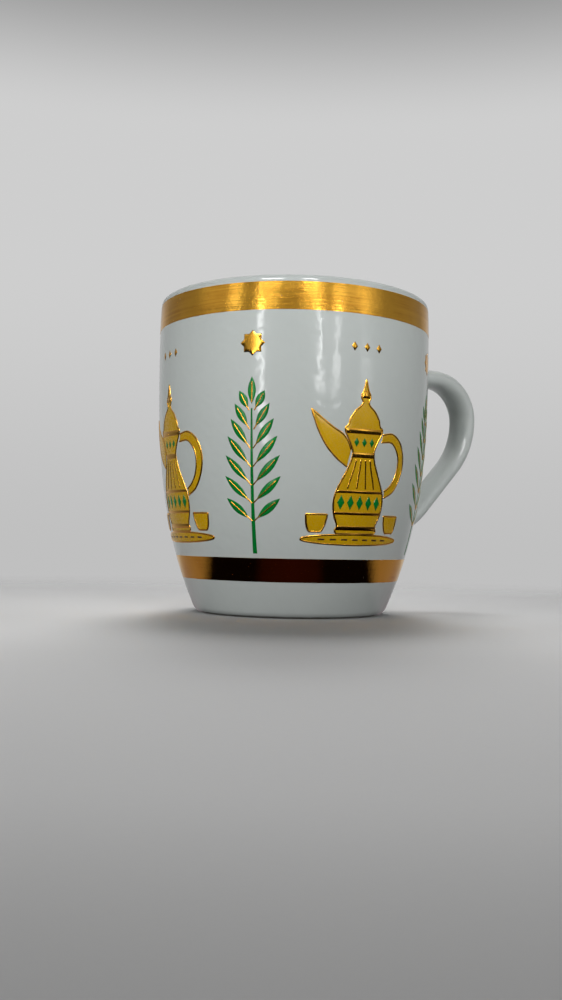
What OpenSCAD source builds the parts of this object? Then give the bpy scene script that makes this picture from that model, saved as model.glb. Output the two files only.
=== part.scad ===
// Arabic coffee cup: a barrel-shaped porcelain cup with an ear handle, gold bands and printed transfers.
// The axis of the cup is Z, the foot stands on Z = 0 and the handle points along +X.

/* [Cup body] */
// Height from the table to the crest of the lip
cup_height = 85.5; // [80:0.5:100]
// Largest outside diameter of the barrel
belly_d = 75; // [68:0.2:88]
// Height of the largest diameter above the table
belly_z = 73.5; // [60:0.5:76]
// How far the wall draws in between the belly and the lip
lip_draw = 0.3; // [0:0.1:2]
// Outside diameter that the wall is heading for at the table
base_d = 51.8; // [46:0.2:62]
// How late the wall turns in towards the base, higher is straighter above
turn_in_power = 2.95; // [2:0.05:3.6]
// Wall thickness at the lip
lip_wall = 3; // [2:0.1:4]
// Wall thickness at the floor, measured level
floor_wall = 3.8; // [2.5:0.1:5]
// Thickness of the floor
floor_t = 4; // [3:0.1:6]
// Radius of the corner between the inside wall and the floor
floor_round = 11; // [5:0.5:15]

/* [Foot] */
// Radius of the corner between the outside wall and the foot
base_round = 3; // [1:0.1:4]
// Width of the unglazed ring that stands on the table
foot_ring_w = 2.2; // [1.2:0.1:4]
// Depth of the hollow inside the foot ring
foot_recess = 1.4; // [0.8:0.1:2.4]

/* [Gold bands] */
// White edge left between the crest of the lip and the upper band
rim_band_gap = 1.9; // [1.6:0.1:5]
// Height of the upper gold band
rim_band_h = 7.1; // [3:0.1:9]
// Height of the lower band's bottom edge above the table
base_band_z = 9.4; // [5:0.1:10]
// Height of the lower gold band
base_band_h = 6; // [3:0.1:6.6]
// Build-up of the gold and of the printed enamel on the glaze
print_t = 0.1; // [0.05:0.01:0.2]

/* [Handle] */
// Distance from the cup's axis to the outside of the handle
handle_reach = 62.5; // [60:0.5:72]
// Thickness of the handle, seen from the side
handle_t = 5.3; // [4.5:0.1:7]
// Width of the handle, across the fingers
handle_w = 9.7; // [8:0.1:12]
// Drop from the upper band to the upper arm's centre line
handle_drop = 7; // [6:0.1:12]
// Height above the lower band at which the tail's centre line meets the wall
handle_lift = 9.8; // [6.6:0.1:12]
// Centre-line radius of the upper bend
upper_bend_r = 12; // [8:0.5:14]
// Centre-line radius of the long outer bend, as a share of the height from the tail to the upper bend
outer_bend_share = 0.66; // [0.5:0.01:0.8]
// Centre-line radius of the tail's bend
tail_bend_r = 16; // [8:0.5:20]
// Straight end of the tail before the wall
tail_run = 1.8; // [1:0.1:4]
// Drop of the tail below the level where it meets the wall, in degrees
tail_drop = 19; // [10:1:28]
// Length over which both ends of the handle widen
root_length = 7; // [4:0.5:9]
// How much wider the ends are than the middle
root_share = 0.2; // [0:0.05:0.25]

/* [Luting slip] */
// Thickness of the slip that joins the handle to the wall
slip_t = 0.4; // [0.2:0.05:0.8]
// Bead of slip that shows around each end of the handle
slip_bead = 0.6; // [0.2:0.1:1]

/* [Transfers] */
// Number of places in the frieze, counting the one that the handle takes
frieze_places = 8; // [6:2:8]
// White space between the upper band and the coffee pot's tip
pot_headroom = 16.2; // [14:0.1:26]
// Width of the coffee pot over its spout and handle
pot_w = 28; // [20:0.5:29]
// Height of the pot's base above the lower band
pot_lift = 6.5; // [4:0.1:10]
// Height of the tray under the pot
tray_h = 2.6; // [1.5:0.1:3]
// White space between the star and the tip of the leaf sprig
sprig_headroom = 5; // [2:0.1:16]
// Length of the sprig's longest leaf
leaf_l = 9; // [6:0.1:10]
// Width of a leaf
leaf_w = 2.1; // [1:0.1:2.4]
// Pairs of leaves on a sprig
leaf_pairs = 7; // [4:1:7]
// Width of the sprig's stem at its base
stem_w = 1.1; // [0.6:0.1:1.6]
// Width of the gold star over its points
star_d = 6.4; // [4:0.1:7]
// White space between the upper band and the star
star_drop = 5; // [3:0.1:7]
// Height of the small gold lozenges above the pot
spark_h = 2.4; // [1:0.1:3]

/* [Hidden] */

// Finish of the curves
wall_step = 2;       // longest straight step of the wall's outline
arc_steps = 8;       // steps in a small corner
lip_steps = 10;      // steps in the half round of the lip
turn_fn = 96;        // steps in a turn
section_fn = 28;     // sides of the handle's section
bend_steps = 11;     // rings in a right-angle bend of the handle
run_steps = 4;       // rings in a straight run of the handle
section_power = 2.3; // roundness of the handle's section, 2 is an ellipse
lip_power = 2;       // curve of the wall between the belly and the lip
slope_step = 0.01;   // height step used to read the wall's slope
overrun = 1;         // how far a cutting or trimming shape reaches past what it cuts

// Driving radii and heights
belly_r = belly_d / 2;
lip_r = belly_r - lip_draw;
base_r = base_d / 2;
lip_z = cup_height - lip_wall / 2;
floor_z = foot_recess + floor_t;
rim_band_hi = cup_height - rim_band_gap;
rim_band_lo = rim_band_hi - rim_band_h;
base_band_lo = base_band_z;
base_band_hi = base_band_z + base_band_h;

// Outside radius of the wall, and wall thickness, at a height
function wall_r(z) = z >= belly_z
    ? belly_r - lip_draw * pow((z - belly_z) / (lip_z - belly_z), lip_power)
    : belly_r - (belly_r - base_r) * pow((belly_z - z) / belly_z, turn_in_power);
function wall_t(z) = lip_wall + (floor_wall - lip_wall) * (lip_z - z) / (lip_z - floor_z);
function inside_r(z) = wall_r(z) - wall_t(z);

// Lean of the wall from the upright, in degrees, outside and inside
function outside_lean(z) = atan((wall_r(z + slope_step) - wall_r(z - slope_step)) / (2 * slope_step));
function inside_lean(z) = atan((inside_r(z + slope_step) - inside_r(z - slope_step)) / (2 * slope_step));

// Foot corner: an arc that leaves the table level and runs into the wall
base_lean = outside_lean(base_round);
base_arc_z = base_round * (1 - sin(base_lean));
base_arc_r = wall_r(base_arc_z) - base_round * cos(base_lean);
foot_out_r = base_arc_r;
foot_in_r = foot_out_r - foot_ring_w;

// Floor corner inside the cup, made the same way
floor_lean = inside_lean(floor_z + floor_round / 2);
floor_arc_z = floor_z + floor_round * (1 - sin(floor_lean));
floor_arc_r = inside_r(floor_arc_z) - floor_round * cos(floor_lean);

// Points of an arc, and heights climbing from one level to the next
function arc(r, z, radius, from, to, steps) =
    [for (i = [0:steps]) let (a = from + (to - from) * i / steps)
        [r + radius * cos(a), z + radius * sin(a)]];
function rise(low, high) =
    let (n = max(1, ceil((high - low) / wall_step))) [for (i = [1:n]) low + (high - low) * i / n];
function levels(low, high) = concat([low], rise(low, high));
function reversed(list) = [for (i = [len(list) - 1:-1:0]) list[i]];

// A coat on the outside of the wall between two heights, from one build-up over the glaze to another
module wall_coat(low, high, under, over) {
    steps = levels(low, high);
    rotate_extrude($fn = turn_fn)
        polygon(concat(
            [for (z = steps) [wall_r(z) + under, z]],
            [for (z = reversed(steps)) [wall_r(z) + over, z]]));
}

// The part of a radial prism that lies in a coat on the bare wall between the two bands
module on_wall(angle, under, over) {
    intersection() {
        wall_coat(base_band_hi, rim_band_lo, under, over);
        rotate([0, 0, angle])
            rotate([90, 0, 90])
                linear_extrude(height = belly_r + over + overrun)
                    children();
    }
}
module first_print(angle) { on_wall(angle, 0, print_t) children(); }
module second_print(angle) { on_wall(angle, print_t, 2 * print_t) children(); }

// Cup body: wall, floor, lip and foot ring in one turned piece of porcelain
module cup_body() {
    color("#dfe6e4")
        rotate_extrude($fn = turn_fn)
            polygon(concat(
                arc(base_arc_r, base_round, base_round, -90, -base_lean, arc_steps),
                [for (z = rise(base_arc_z, base_band_lo)) [wall_r(z), z]],
                [for (z = rise(base_band_lo, base_band_hi)) [wall_r(z), z]],
                [for (z = rise(base_band_hi, rim_band_lo)) [wall_r(z), z]],
                [for (z = rise(rim_band_lo, rim_band_hi)) [wall_r(z), z]],
                [for (z = rise(rim_band_hi, lip_z)) [wall_r(z), z]],
                arc(lip_r - lip_wall / 2, lip_z, lip_wall / 2, 0, 180, lip_steps),
                [for (z = reversed(rise(floor_arc_z, lip_z))) if (z < lip_z) [inside_r(z), z]],
                arc(floor_arc_r, floor_z + floor_round, floor_round, -floor_lean, -90, arc_steps),
                [[0, floor_z], [0, foot_recess]],
                reversed(arc(foot_in_r - foot_recess, 0, foot_recess, 0, 90, arc_steps))));
}

// Centre line of the handle in the plane of the cup's axis. Each point is the distance from the axis,
// the height, and the turn of the path from the level, in degrees
handle_top_z = rim_band_lo - handle_drop;
handle_tail_z = base_band_hi + handle_lift;
arm_wall_r = wall_r(handle_top_z);
tail_wall_r = wall_r(handle_tail_z);
arm_reach = handle_reach - handle_t / 2;
arm_end = [arm_reach - upper_bend_r, handle_top_z];
side_z = handle_top_z - upper_bend_r;
outer_bend_r = (side_z - handle_tail_z) * outer_bend_share;
outer_bend_centre = [arm_reach - outer_bend_r, side_z];
tail_start = [tail_wall_r, handle_tail_z] + tail_run * [cos(tail_drop), sin(tail_drop)];
tail_bend_centre = tail_start + tail_bend_r * [-sin(tail_drop), cos(tail_drop)];

// The straight leg touches the outer bend and the tail's bend
bend_span = outer_bend_centre - tail_bend_centre;
leg_drop = acos((outer_bend_r - tail_bend_r) / norm(bend_span)) - atan2(bend_span[0], bend_span[1]);
leg_end = tail_bend_centre + tail_bend_r * [sin(leg_drop), -cos(leg_drop)];
leg_start = outer_bend_centre + outer_bend_r * [sin(leg_drop), -cos(leg_drop)];

// Both ends of the path reach into the wall and are trimmed there
root_depth = lip_wall;
arm_start = [arm_wall_r - root_depth, handle_top_z];
tail_end = [tail_wall_r, handle_tail_z] - root_depth * [cos(tail_drop), sin(tail_drop)];

function run(from, to, turn) =
    [for (i = [1:run_steps]) concat(from + (to - from) * i / run_steps, [turn])];
function bend(centre, radius, from, to, steps) =
    [for (i = [1:steps]) let (turn = from + (to - from) * i / steps)
        concat(centre + radius * [sin(turn), cos(turn)], [turn])];
handle_path = concat(
    [concat(arm_start, [0])],
    run(arm_start, arm_end, 0),
    bend([arm_end[0], side_z], upper_bend_r, 0, 90, bend_steps),
    bend(outer_bend_centre, outer_bend_r, 90, 180 - leg_drop, bend_steps),
    run(leg_start, leg_end, 180 - leg_drop),
    bend(tail_bend_centre, tail_bend_r, 180 - leg_drop, 180 - tail_drop, run_steps),
    run(tail_start, tail_end, 180 - tail_drop));

// Widening of the section towards both ends, from the distance to the wall
function root_grow(p) =
    let (arm_gap = norm([p[0] - arm_wall_r, p[1] - handle_top_z]),
         tail_gap = norm([p[0] - tail_wall_r, p[1] - handle_tail_z]),
         near = max(0, 1 - min(arm_gap, tail_gap) / root_length))
    1 + root_share * near * near * (3 - 2 * near);
function signed_power(v, p) = sign(v) * pow(abs(v), p);
function section_ring(p) =
    let (grow = root_grow(p), turn = p[2])
    [for (k = [0:section_fn - 1])
        let (a = 360 * k / section_fn,
             across = handle_w / 2 * grow * signed_power(cos(a), 2 / section_power),
             up = handle_t / 2 * grow * signed_power(sin(a), 2 / section_power))
        [p[0] + up * sin(turn), across, p[1] + up * cos(turn)]];

// Swept tube through rings of points, closed by a flat fan at each end
module swept_tube(rings) {
    n = len(rings[0]);
    last = len(rings) - 1;
    points = [for (ring = rings) each ring];
    sides = [for (j = [0:last - 1], k = [0:n - 1])
        let (a = j * n + k, b = j * n + (k + 1) % n) each [[a, b, b + n], [a, b + n, a + n]]];
    first_cap = [for (k = [1:n - 2]) [0, k + 1, k]];
    last_cap = [for (k = [1:n - 2]) [last * n, last * n + k, last * n + k + 1]];
    polyhedron(points = points, faces = concat(sides, first_cap, last_cap));
}

// Handle: a cast ear with both ends cut to the curve of the wall, less the slip
module handle() {
    steps = levels(base_band_hi, rim_band_lo);
    color("#dfe6e4")
        difference() {
            swept_tube([for (p = handle_path) section_ring(p)]);
            rotate_extrude($fn = turn_fn)
                polygon(concat(
                    [[0, base_band_hi]],
                    [for (z = steps) [wall_r(z) + slip_t, z]],
                    [[0, rim_band_lo]]));
        }
}

// Luting slip: the saddle of clay that fills the joint and shows as a bead around the handle's end
module slip_joint(height, meeting_angle) {
    grow = 1 + root_share;
    half_w = handle_w / 2 * grow + slip_bead;
    half_h = handle_t / 2 * grow / cos(meeting_angle) + slip_bead;
    color("#d2d9d6")
        on_wall(0, 0, slip_t)
            polygon([for (k = [0:section_fn - 1])
                let (a = 360 * k / section_fn)
                [half_w * signed_power(cos(a), 2 / section_power),
                 height + half_h * signed_power(sin(a), 2 / section_power)]]);
}
module upper_slip_joint() { slip_joint(handle_top_z, outside_lean(handle_top_z)); }
module lower_slip_joint() { slip_joint(handle_tail_z, tail_drop + outside_lean(handle_tail_z)); }

// Gold bands: burnished gold lines laid on the glaze with a brush as the cup turns
module rim_gold_band() { color("#c8962a") wall_coat(rim_band_lo, rim_band_hi, 0, print_t); }
module base_gold_band() { color("#c8962a") wall_coat(base_band_lo, base_band_hi, 0, print_t); }

// Frieze: the handle has the first place, then leaf sprigs and coffee pots take turns around the cup
place_angle = 360 / frieze_places;
sprig_angles = [for (i = [1:2:frieze_places - 1]) i * place_angle];
pot_angles = [for (i = [2:2:frieze_places - 2]) i * place_angle];
pot_z = base_band_hi + pot_lift;
pot_h = rim_band_lo - pot_headroom - pot_z;
star_z = rim_band_lo - star_drop - star_d / 2;

// Coffee pot outlines, as shares of the pot's width and height
pot_side_shares = [
    [0.2, 0], [0.215, 0.02], [0.2, 0.05], [0.24, 0.12], [0.256, 0.19], [0.245, 0.26], [0.2, 0.34],
    [0.148, 0.42], [0.115, 0.49], [0.115, 0.54], [0.15, 0.6], [0.185, 0.645], [0.195, 0.68], [0.165, 0.7],
    [0.15, 0.74], [0.105, 0.79], [0.05, 0.825], [0.03, 0.85], [0.045, 0.875], [0.045, 0.9], [0.025, 0.925],
    [0.012, 0.96]];
pot_tip_shares = [[0, 1]];
spout_shares = [
    [-0.16, 0.43], [-0.25, 0.475], [-0.35, 0.55], [-0.43, 0.65], [-0.5, 0.79], [-0.41, 0.735], [-0.31, 0.68],
    [-0.22, 0.64], [-0.165, 0.595], [-0.13, 0.54], [-0.13, 0.49]];
pot_handle_shares = [
    [0.205, 0.65], [0.33, 0.66], [0.44, 0.605], [0.49, 0.5], [0.465, 0.385], [0.38, 0.285], [0.27, 0.24],
    [0.265, 0.28], [0.345, 0.325], [0.405, 0.4], [0.42, 0.495], [0.385, 0.56], [0.31, 0.605], [0.19, 0.6]];
small_cup_side_shares = [[0.045, 0.008], [0.06, 0.02], [0.08, 0.06], [0.092, 0.12]];
small_cup_place_share = 0.39;
tray_half_share = 0.5;
tray_gap_share = 0.1; // gap under the pot, in tray heights
tray_z = pot_z - tray_h * (1 / 2 + tray_gap_share);
tray_fn = 32;

function pot_outline(shares) = [for (p = shares) [p[0] * pot_w, pot_z + p[1] * pot_h]];
function two_sided(side, tip) =
    concat(side, tip, [for (p = reversed(side)) [-p[0], p[1]]]);
function moved(shares, along) = [for (p = shares) [p[0] + along, p[1]]];
small_cup_shares = two_sided(small_cup_side_shares, []);

module pot_shape(shape) {
    if (shape == "pot") polygon(pot_outline(two_sided(pot_side_shares, pot_tip_shares)));
    if (shape == "spout") polygon(pot_outline(spout_shares));
    if (shape == "grip") polygon(pot_outline(pot_handle_shares));
    if (shape == "left cup") polygon(pot_outline(moved(small_cup_shares, -small_cup_place_share)));
    if (shape == "right cup") polygon(pot_outline(moved(small_cup_shares, small_cup_place_share)));
    if (shape == "tray")
        polygon([for (k = [0:tray_fn - 1]) let (a = 360 * k / tray_fn)
            [pot_w * tray_half_share * cos(a), tray_z + tray_h / 2 * sin(a)]]);
}
module pot_ochre_print() {
    color("#b8860f")
        for (angle = pot_angles, shape = ["pot", "spout", "grip", "left cup", "right cup", "tray"])
            first_print(angle) pot_shape(shape);
}

// Half width of the pot at a height, both as shares, and a strip of the pot between two heights
pot_side_by_height = [for (p = pot_side_shares) [p[1], p[0]]];
function pot_half(up) = lookup(up, pot_side_by_height);
function pot_strip(low, high) =
    pot_outline([[-pot_half(low), low], [pot_half(low), low],
        [pot_half(high), high], [-pot_half(high), high]]);

// Gold lines across the pot, over the ochre
gold_line_shares = [[0.02, 0.05], [0.12, 0.14], [0.26, 0.28], [0.49, 0.525], [0.645, 0.68], [0.875, 0.925]];
module pot_gold_print() {
    color("#c8962a")
        for (angle = pot_angles, line = gold_line_shares)
            second_print(angle) polygon(pot_strip(line[0], line[1]));
}

// Green lozenges round the pot's belly and its collar, over the ochre
belly_lozenge_shares = [for (i = [-2:2]) [i * 0.094, 0.2]];
collar_lozenge_shares = [for (i = [-1:1]) [i * 0.08, 0.59]];
belly_lozenge_size_shares = [0.035, 0.048]; // half width and half height
collar_lozenge_size_shares = [0.026, 0.03];
function lozenge(centre, half) =
    [[centre[0] - half[0], centre[1]], [centre[0], centre[1] - half[1]],
     [centre[0] + half[0], centre[1]], [centre[0], centre[1] + half[1]]];
module pot_green_print() {
    color("#0a7a34")
        for (angle = pot_angles) {
            for (centre = belly_lozenge_shares)
                second_print(angle) polygon(pot_outline(lozenge(centre, belly_lozenge_size_shares)));
            for (centre = collar_lozenge_shares)
                second_print(angle) polygon(pot_outline(lozenge(centre, collar_lozenge_size_shares)));
        }
}

// Dark dashes along the tray, over the ochre
tray_dashes = 7;
dash_row_share = 0.76;  // length of the row, in tray widths
dash_fill_share = 0.55; // length of a dash, in steps of the row
dash_h_share = 0.16;    // height of a dash, in tray heights
module tray_umber_print() {
    step = pot_w * dash_row_share / tray_dashes;
    color("#3a2410")
        for (angle = pot_angles, i = [0:tray_dashes - 1])
            second_print(angle)
                translate([(i - (tray_dashes - 1) / 2) * step, tray_z])
                    square([step * dash_fill_share, tray_h * dash_h_share], center = true);
}

// Leaf sprig: an upright stem with pairs of pointed leaves and one leaf at the tip
sprig_foot_share = 0.2;   // bare stem below the first pair
sprig_tip_share = 0.82;   // where the last pair leaves the stem
stem_tip_share = 0.4;     // stem width at the top
low_leaf_lean = 50;       // lean of the first pair from the upright, in degrees
top_leaf_lean = 28;       // lean of the last pair
leaf_gap_share = 0.9;     // where a leaf starts beside the stem, in stem widths from its centre line
leaf_peak_share = 0.35;   // where along the stem the longest pair grows
leaf_least_share = 0.55;  // length of the last pair
leaf_steps = 6;           // steps along one edge of a leaf
sprig_z = base_band_hi + stem_w;
sprig_h = star_z - star_d / 2 - sprig_headroom - sprig_z;
leaf_gap = stem_w * leaf_gap_share;
tip_leaf_l = sprig_h * (1 - sprig_tip_share) - leaf_gap;

function leaf_edge(length, side) =
    [for (i = [0:leaf_steps]) let (t = i / leaf_steps) [side * leaf_w / 2 * sin(180 * t), length * t]];
module leaf(length) {
    polygon(concat(leaf_edge(length, 1), [for (i = [leaf_steps - 1:-1:1]) leaf_edge(length, -1)[i]]));
}
module stem() {
    polygon([[-stem_w / 2, 0], [stem_w / 2, 0],
        [stem_w / 2 * stem_tip_share, sprig_h * sprig_tip_share],
        [-stem_w / 2 * stem_tip_share, sprig_h * sprig_tip_share]]);
}
module sprig_leaf(pair, side) {
    up = pair / (leaf_pairs - 1);
    foot = sprig_h * (sprig_foot_share + (sprig_tip_share - sprig_foot_share) * up);
    lean = low_leaf_lean + (top_leaf_lean - low_leaf_lean) * up;
    away = (up - leaf_peak_share) / (1 - leaf_peak_share);
    length = leaf_l * (1 - (1 - leaf_least_share) * away * away);
    translate([side * leaf_gap, foot])
        rotate(-side * lean)
            leaf(length);
}
module sprig_green_print() {
    color("#0a7a34")
        for (angle = sprig_angles) {
            first_print(angle) translate([0, sprig_z]) stem();
            first_print(angle) translate([0, sprig_z + sprig_h - tip_leaf_l]) leaf(tip_leaf_l);
            for (pair = [0:leaf_pairs - 1], side = [-1, 1])
                first_print(angle) translate([0, sprig_z]) sprig_leaf(pair, side);
        }
}

// Eight-pointed star, two squares turned over each other, above each sprig, and lozenges above each pot
star_points = 8;
star_notch_share = 0.765;
sparks = 3;
spark_w_share = 0.7;     // width of a lozenge, in its heights
spark_pitch_share = 1.5; // step of the row, in lozenge heights
module star_gold_print() {
    color("#c8962a") {
        for (angle = sprig_angles)
            first_print(angle)
                polygon([for (k = [0:2 * star_points - 1])
                    let (a = 180 * k / star_points, reach = star_d / 2 * (k % 2 == 0 ? 1 : star_notch_share))
                    [reach * sin(a), star_z + reach * cos(a)]]);
        for (angle = pot_angles, i = [0:sparks - 1])
            first_print(angle)
                translate([(i - (sparks - 1) / 2) * spark_h * spark_pitch_share, star_z])
                    polygon(lozenge([0, 0], [spark_h * spark_w_share / 2, spark_h / 2]));
    }
}

cup_body();
handle();
upper_slip_joint();
lower_slip_joint();
rim_gold_band();
base_gold_band();
pot_ochre_print();
pot_gold_print();
pot_green_print();
tray_umber_print();
sprig_green_print();
star_gold_print();
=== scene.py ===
"""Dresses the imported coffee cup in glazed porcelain, burnished gold and fired transfers.

The file is laid out as an add-on and is run as a script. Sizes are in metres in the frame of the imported
part: the axis of the cup is Z, the foot stands on Z = 0 and the handle points along +X.
"""

import math

import bpy
import numpy as np
from bpy.props import FloatProperty, FloatVectorProperty, IntProperty, PointerProperty
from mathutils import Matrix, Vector
from mathutils.geometry import delaunay_2d_cdt


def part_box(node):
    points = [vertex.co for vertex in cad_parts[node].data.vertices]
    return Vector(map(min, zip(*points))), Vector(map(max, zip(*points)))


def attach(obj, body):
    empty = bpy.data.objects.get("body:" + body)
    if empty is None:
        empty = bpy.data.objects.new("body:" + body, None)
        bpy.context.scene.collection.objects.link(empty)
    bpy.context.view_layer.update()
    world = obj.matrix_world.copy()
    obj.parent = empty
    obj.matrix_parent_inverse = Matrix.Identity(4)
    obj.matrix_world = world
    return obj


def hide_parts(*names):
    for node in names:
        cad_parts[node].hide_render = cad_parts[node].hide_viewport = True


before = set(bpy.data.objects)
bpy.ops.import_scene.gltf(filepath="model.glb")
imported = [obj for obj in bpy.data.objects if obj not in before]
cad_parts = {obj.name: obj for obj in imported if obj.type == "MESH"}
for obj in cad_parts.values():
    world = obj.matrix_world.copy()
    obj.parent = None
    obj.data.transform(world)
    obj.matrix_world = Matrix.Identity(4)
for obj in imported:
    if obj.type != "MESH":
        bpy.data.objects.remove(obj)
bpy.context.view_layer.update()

bl_info = {
    "name": "Coffee Cup Dressing",
    "version": (1, 0, 0),
    "blender": (4, 5, 0),
    "location": "3D View > Sidebar > Coffee Cup",
    "description": "Dresses the packed coffee cup in porcelain, gold and fired transfers",
    "category": "Object",
}

MM = 0.001
CUP_NAME = "porcelain_cup"
ROOT_BODY = "root"

CUP_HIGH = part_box("cup_body")[1]
RIM_LOW, RIM_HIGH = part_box("rim_gold_band")
BASE_LOW, BASE_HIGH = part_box("base_gold_band")
HANDLE_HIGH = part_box("handle")[1]


def srgb(red, green, blue):
    """A colour as it is seen on a screen, from 0 to 255, in the linear values that Blender keeps."""
    shares = [v / 255 for v in (red, green, blue)]
    return tuple(v / 12.92 if v <= 0.04045 else ((v + 0.055) / 1.055) ** 2.4 for v in shares)


def size_of(name, description, default):
    return FloatProperty(name=name, description=description, default=default, unit="LENGTH", precision=5)


def share_of(name, description, default):
    return FloatProperty(name=name, description=description, default=default, subtype="FACTOR")


def angle_of(name, description, degrees):
    return FloatProperty(name=name, description=description, default=math.radians(degrees), subtype="ANGLE")


def number_of(name, description, default):
    return FloatProperty(name=name, description=description, default=default)


def count_of(name, description, default):
    return IntProperty(name=name, description=description, default=default)


def colour_of(name, description, default):
    return FloatVectorProperty(name=name, description=description, default=default, subtype="COLOR",
                               size=3, min=0, max=1)


class CupShape(bpy.types.PropertyGroup):
    """Sizes of the turned porcelain body."""

    height: size_of("Height", "From the table to the crest of the lip", CUP_HIGH.z)
    belly_radius: size_of("Belly radius", "Largest outside radius", CUP_HIGH.x)
    belly_height: size_of("Belly height", "Height of the largest radius", 73.5 * MM)
    lip_draw: size_of("Lip draw", "How far the wall draws in at the lip", 0.3 * MM)
    base_radius: size_of("Base radius", "Radius that the wall heads for at the table", 25.9 * MM)
    turn_in: number_of("Turn in", "How late the wall turns in to the base", 2.95)
    lip_wall: size_of("Lip wall", "Wall thickness at the lip", 3 * MM)
    floor_wall: size_of("Floor wall", "Wall thickness at the floor", 3.8 * MM)
    floor_thickness: size_of("Floor thickness", "Thickness of the floor", 4 * MM)
    floor_corner: size_of("Floor corner", "Radius of the corner inside", 11 * MM)
    base_corner: size_of("Base corner", "Radius between the wall and the foot", 3 * MM)
    foot_width: size_of("Foot width", "Width of the unglazed foot ring", 2.2 * MM)
    foot_recess: size_of("Foot recess", "Depth of the hollow in the foot", 1.4 * MM)
    turn_steps: count_of("Turn steps", "Steps in one turn", 256)


class BandShape(bpy.types.PropertyGroup):
    """Sizes of the two gold bands."""

    rim_low: size_of("Rim band bottom", "Lower edge of the upper band", RIM_LOW.z)
    rim_high: size_of("Rim band top", "Upper edge of the upper band", RIM_HIGH.z)
    base_low: size_of("Base band bottom", "Lower edge of the lower band", BASE_LOW.z)
    base_high: size_of("Base band top", "Upper edge of the lower band", BASE_HIGH.z)
    build_up: size_of("Build-up", "Thickness of the gold on the glaze", 0.05 * MM)
    wander: size_of("Brush wander", "How far the brushed edges wander", 0.07 * MM)


class HandleShape(bpy.types.PropertyGroup):
    """Sizes of the cast ear handle and of the slip that joins it."""

    reach: size_of("Reach", "From the axis to the outside of the handle", HANDLE_HIGH.x)
    thickness: size_of("Thickness", "Seen from the side", 5.3 * MM)
    width: size_of("Width", "Across the fingers", 9.7 * MM)
    top_height: size_of("Arm height", "Height of the upper arm's centre line", 69.5 * MM)
    tail_height: size_of("Tail height", "Height at which the tail meets the wall", 25.2 * MM)
    upper_bend: size_of("Upper bend", "Centre-line radius of the upper bend", 12 * MM)
    outer_bend: size_of("Outer bend", "Centre-line radius of the long bend", 21.318 * MM)
    tail_bend: size_of("Tail bend", "Centre-line radius of the tail's bend", 16 * MM)
    tail_run: size_of("Tail run", "Straight end before the wall", 1.8 * MM)
    tail_drop: angle_of("Tail drop", "Drop of the tail below the level", 19)
    root_length: size_of("Root length", "Length over which the ends widen", 7 * MM)
    root_share: share_of("Root share", "How much wider the ends are", 0.2)
    roundness: number_of("Roundness", "Power of the section, 2 is an ellipse", 2.3)
    slip_fillet: size_of("Slip fillet", "Reach of the slip around each end", 1.1 * MM)


class FriezeShape(bpy.types.PropertyGroup):
    """Sizes of the printed frieze."""

    places: count_of("Places", "Places around the cup, the handle's too", 8)
    build_up: size_of("Build-up", "Thickness of the enamel on the glaze", 0.06 * MM)
    line_width: size_of("Line width", "Width of the gold lines", 0.5 * MM)
    line_build_up: size_of("Line build-up", "Height of the gold lines over the glaze", 0.15 * MM)
    pot_width: size_of("Pot width", "Over the spout and the handle", 28 * MM)
    pot_base: size_of("Pot base", "Height of the pot's base", 21.9 * MM)
    pot_height: size_of("Pot height", "From the base to the tip", 38.4 * MM)
    tray_height: size_of("Tray height", "Height of the tray under the pot", 2.6 * MM)
    sprig_base: size_of("Sprig base", "Height of the sprig's foot", 16.5 * MM)
    sprig_height: size_of("Sprig height", "From the foot to the tip", 43.6 * MM)
    leaf_length: size_of("Leaf length", "Length of the longest leaf", 9 * MM)
    leaf_width: size_of("Leaf width", "Width of a leaf", 2.1 * MM)
    leaf_pairs: count_of("Leaf pairs", "Pairs of leaves on a sprig", 7)
    stem_width: size_of("Stem width", "Width of the stem at its foot", 1.1 * MM)
    star_width: size_of("Star width", "Over the points of the star", 6.4 * MM)
    star_height: size_of("Star height", "Height of the star's middle", 68.3 * MM)
    spark_height: size_of("Spark height", "Height of the lozenges over the pot", 2.4 * MM)


class CupFinish(bpy.types.PropertyGroup):
    """Colours of the fired finishes."""

    porcelain: colour_of("Porcelain", "Glazed body, a cool white", srgb(204, 210, 207))
    biscuit: colour_of("Biscuit", "Unglazed foot ring", srgb(176, 170, 158))
    # Dark tint: dirt in the pinholes, and the line at the foot, which is partly where the glaze ends and
    # partly painted contact shade where the cup meets the table.
    grime: colour_of("Grime", "Line where the glaze ends at the foot", srgb(92, 88, 80))
    slip: colour_of("Slip", "Glaze pooled around the handle's ends", srgb(188, 195, 191))
    gold: colour_of("Gold", "Burnished gold", srgb(243, 183, 69))
    gold_shade: colour_of("Gold shade", "Gold where the brush left it thin", srgb(190, 122, 38))
    ochre: colour_of("Ochre", "Ochre enamel", srgb(220, 174, 20))
    ochre_shade: colour_of("Ochre shade", "Ochre where it fired darker", srgb(186, 142, 12))
    green: colour_of("Green", "Green enamel", srgb(6, 138, 52))
    green_shade: colour_of("Green shade", "Green where it fired darker", srgb(4, 96, 34))
    umber: colour_of("Umber", "Umber enamel", srgb(70, 38, 16))


class StageSetup(bpy.types.PropertyGroup):
    """Camera, floor and light."""

    camera_place: FloatVectorProperty(name="Camera place", description="Where the camera stands", size=3,
                                      default=(-0.137744, -0.246872, 0.019773), subtype="TRANSLATION")
    camera_turn: FloatVectorProperty(name="Camera turn", description="How the camera is turned", size=3,
                                     default=[math.radians(a) for a in (92.3188, -1.1081, -28.6227)],
                                     subtype="EULER")
    lens: number_of("Lens", "Focal length in millimetres", 36.376)
    floor: colour_of("Floor", "Pale floor", srgb(232, 232, 232))
    backdrop: colour_of("Backdrop", "Pale grey behind the cup", srgb(200, 200, 200))
    ambient: number_of("Ambient", "Light from all round", 0.03)
    panels: number_of("Panels", "Share of the power of the soft panels", 1.03)


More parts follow.
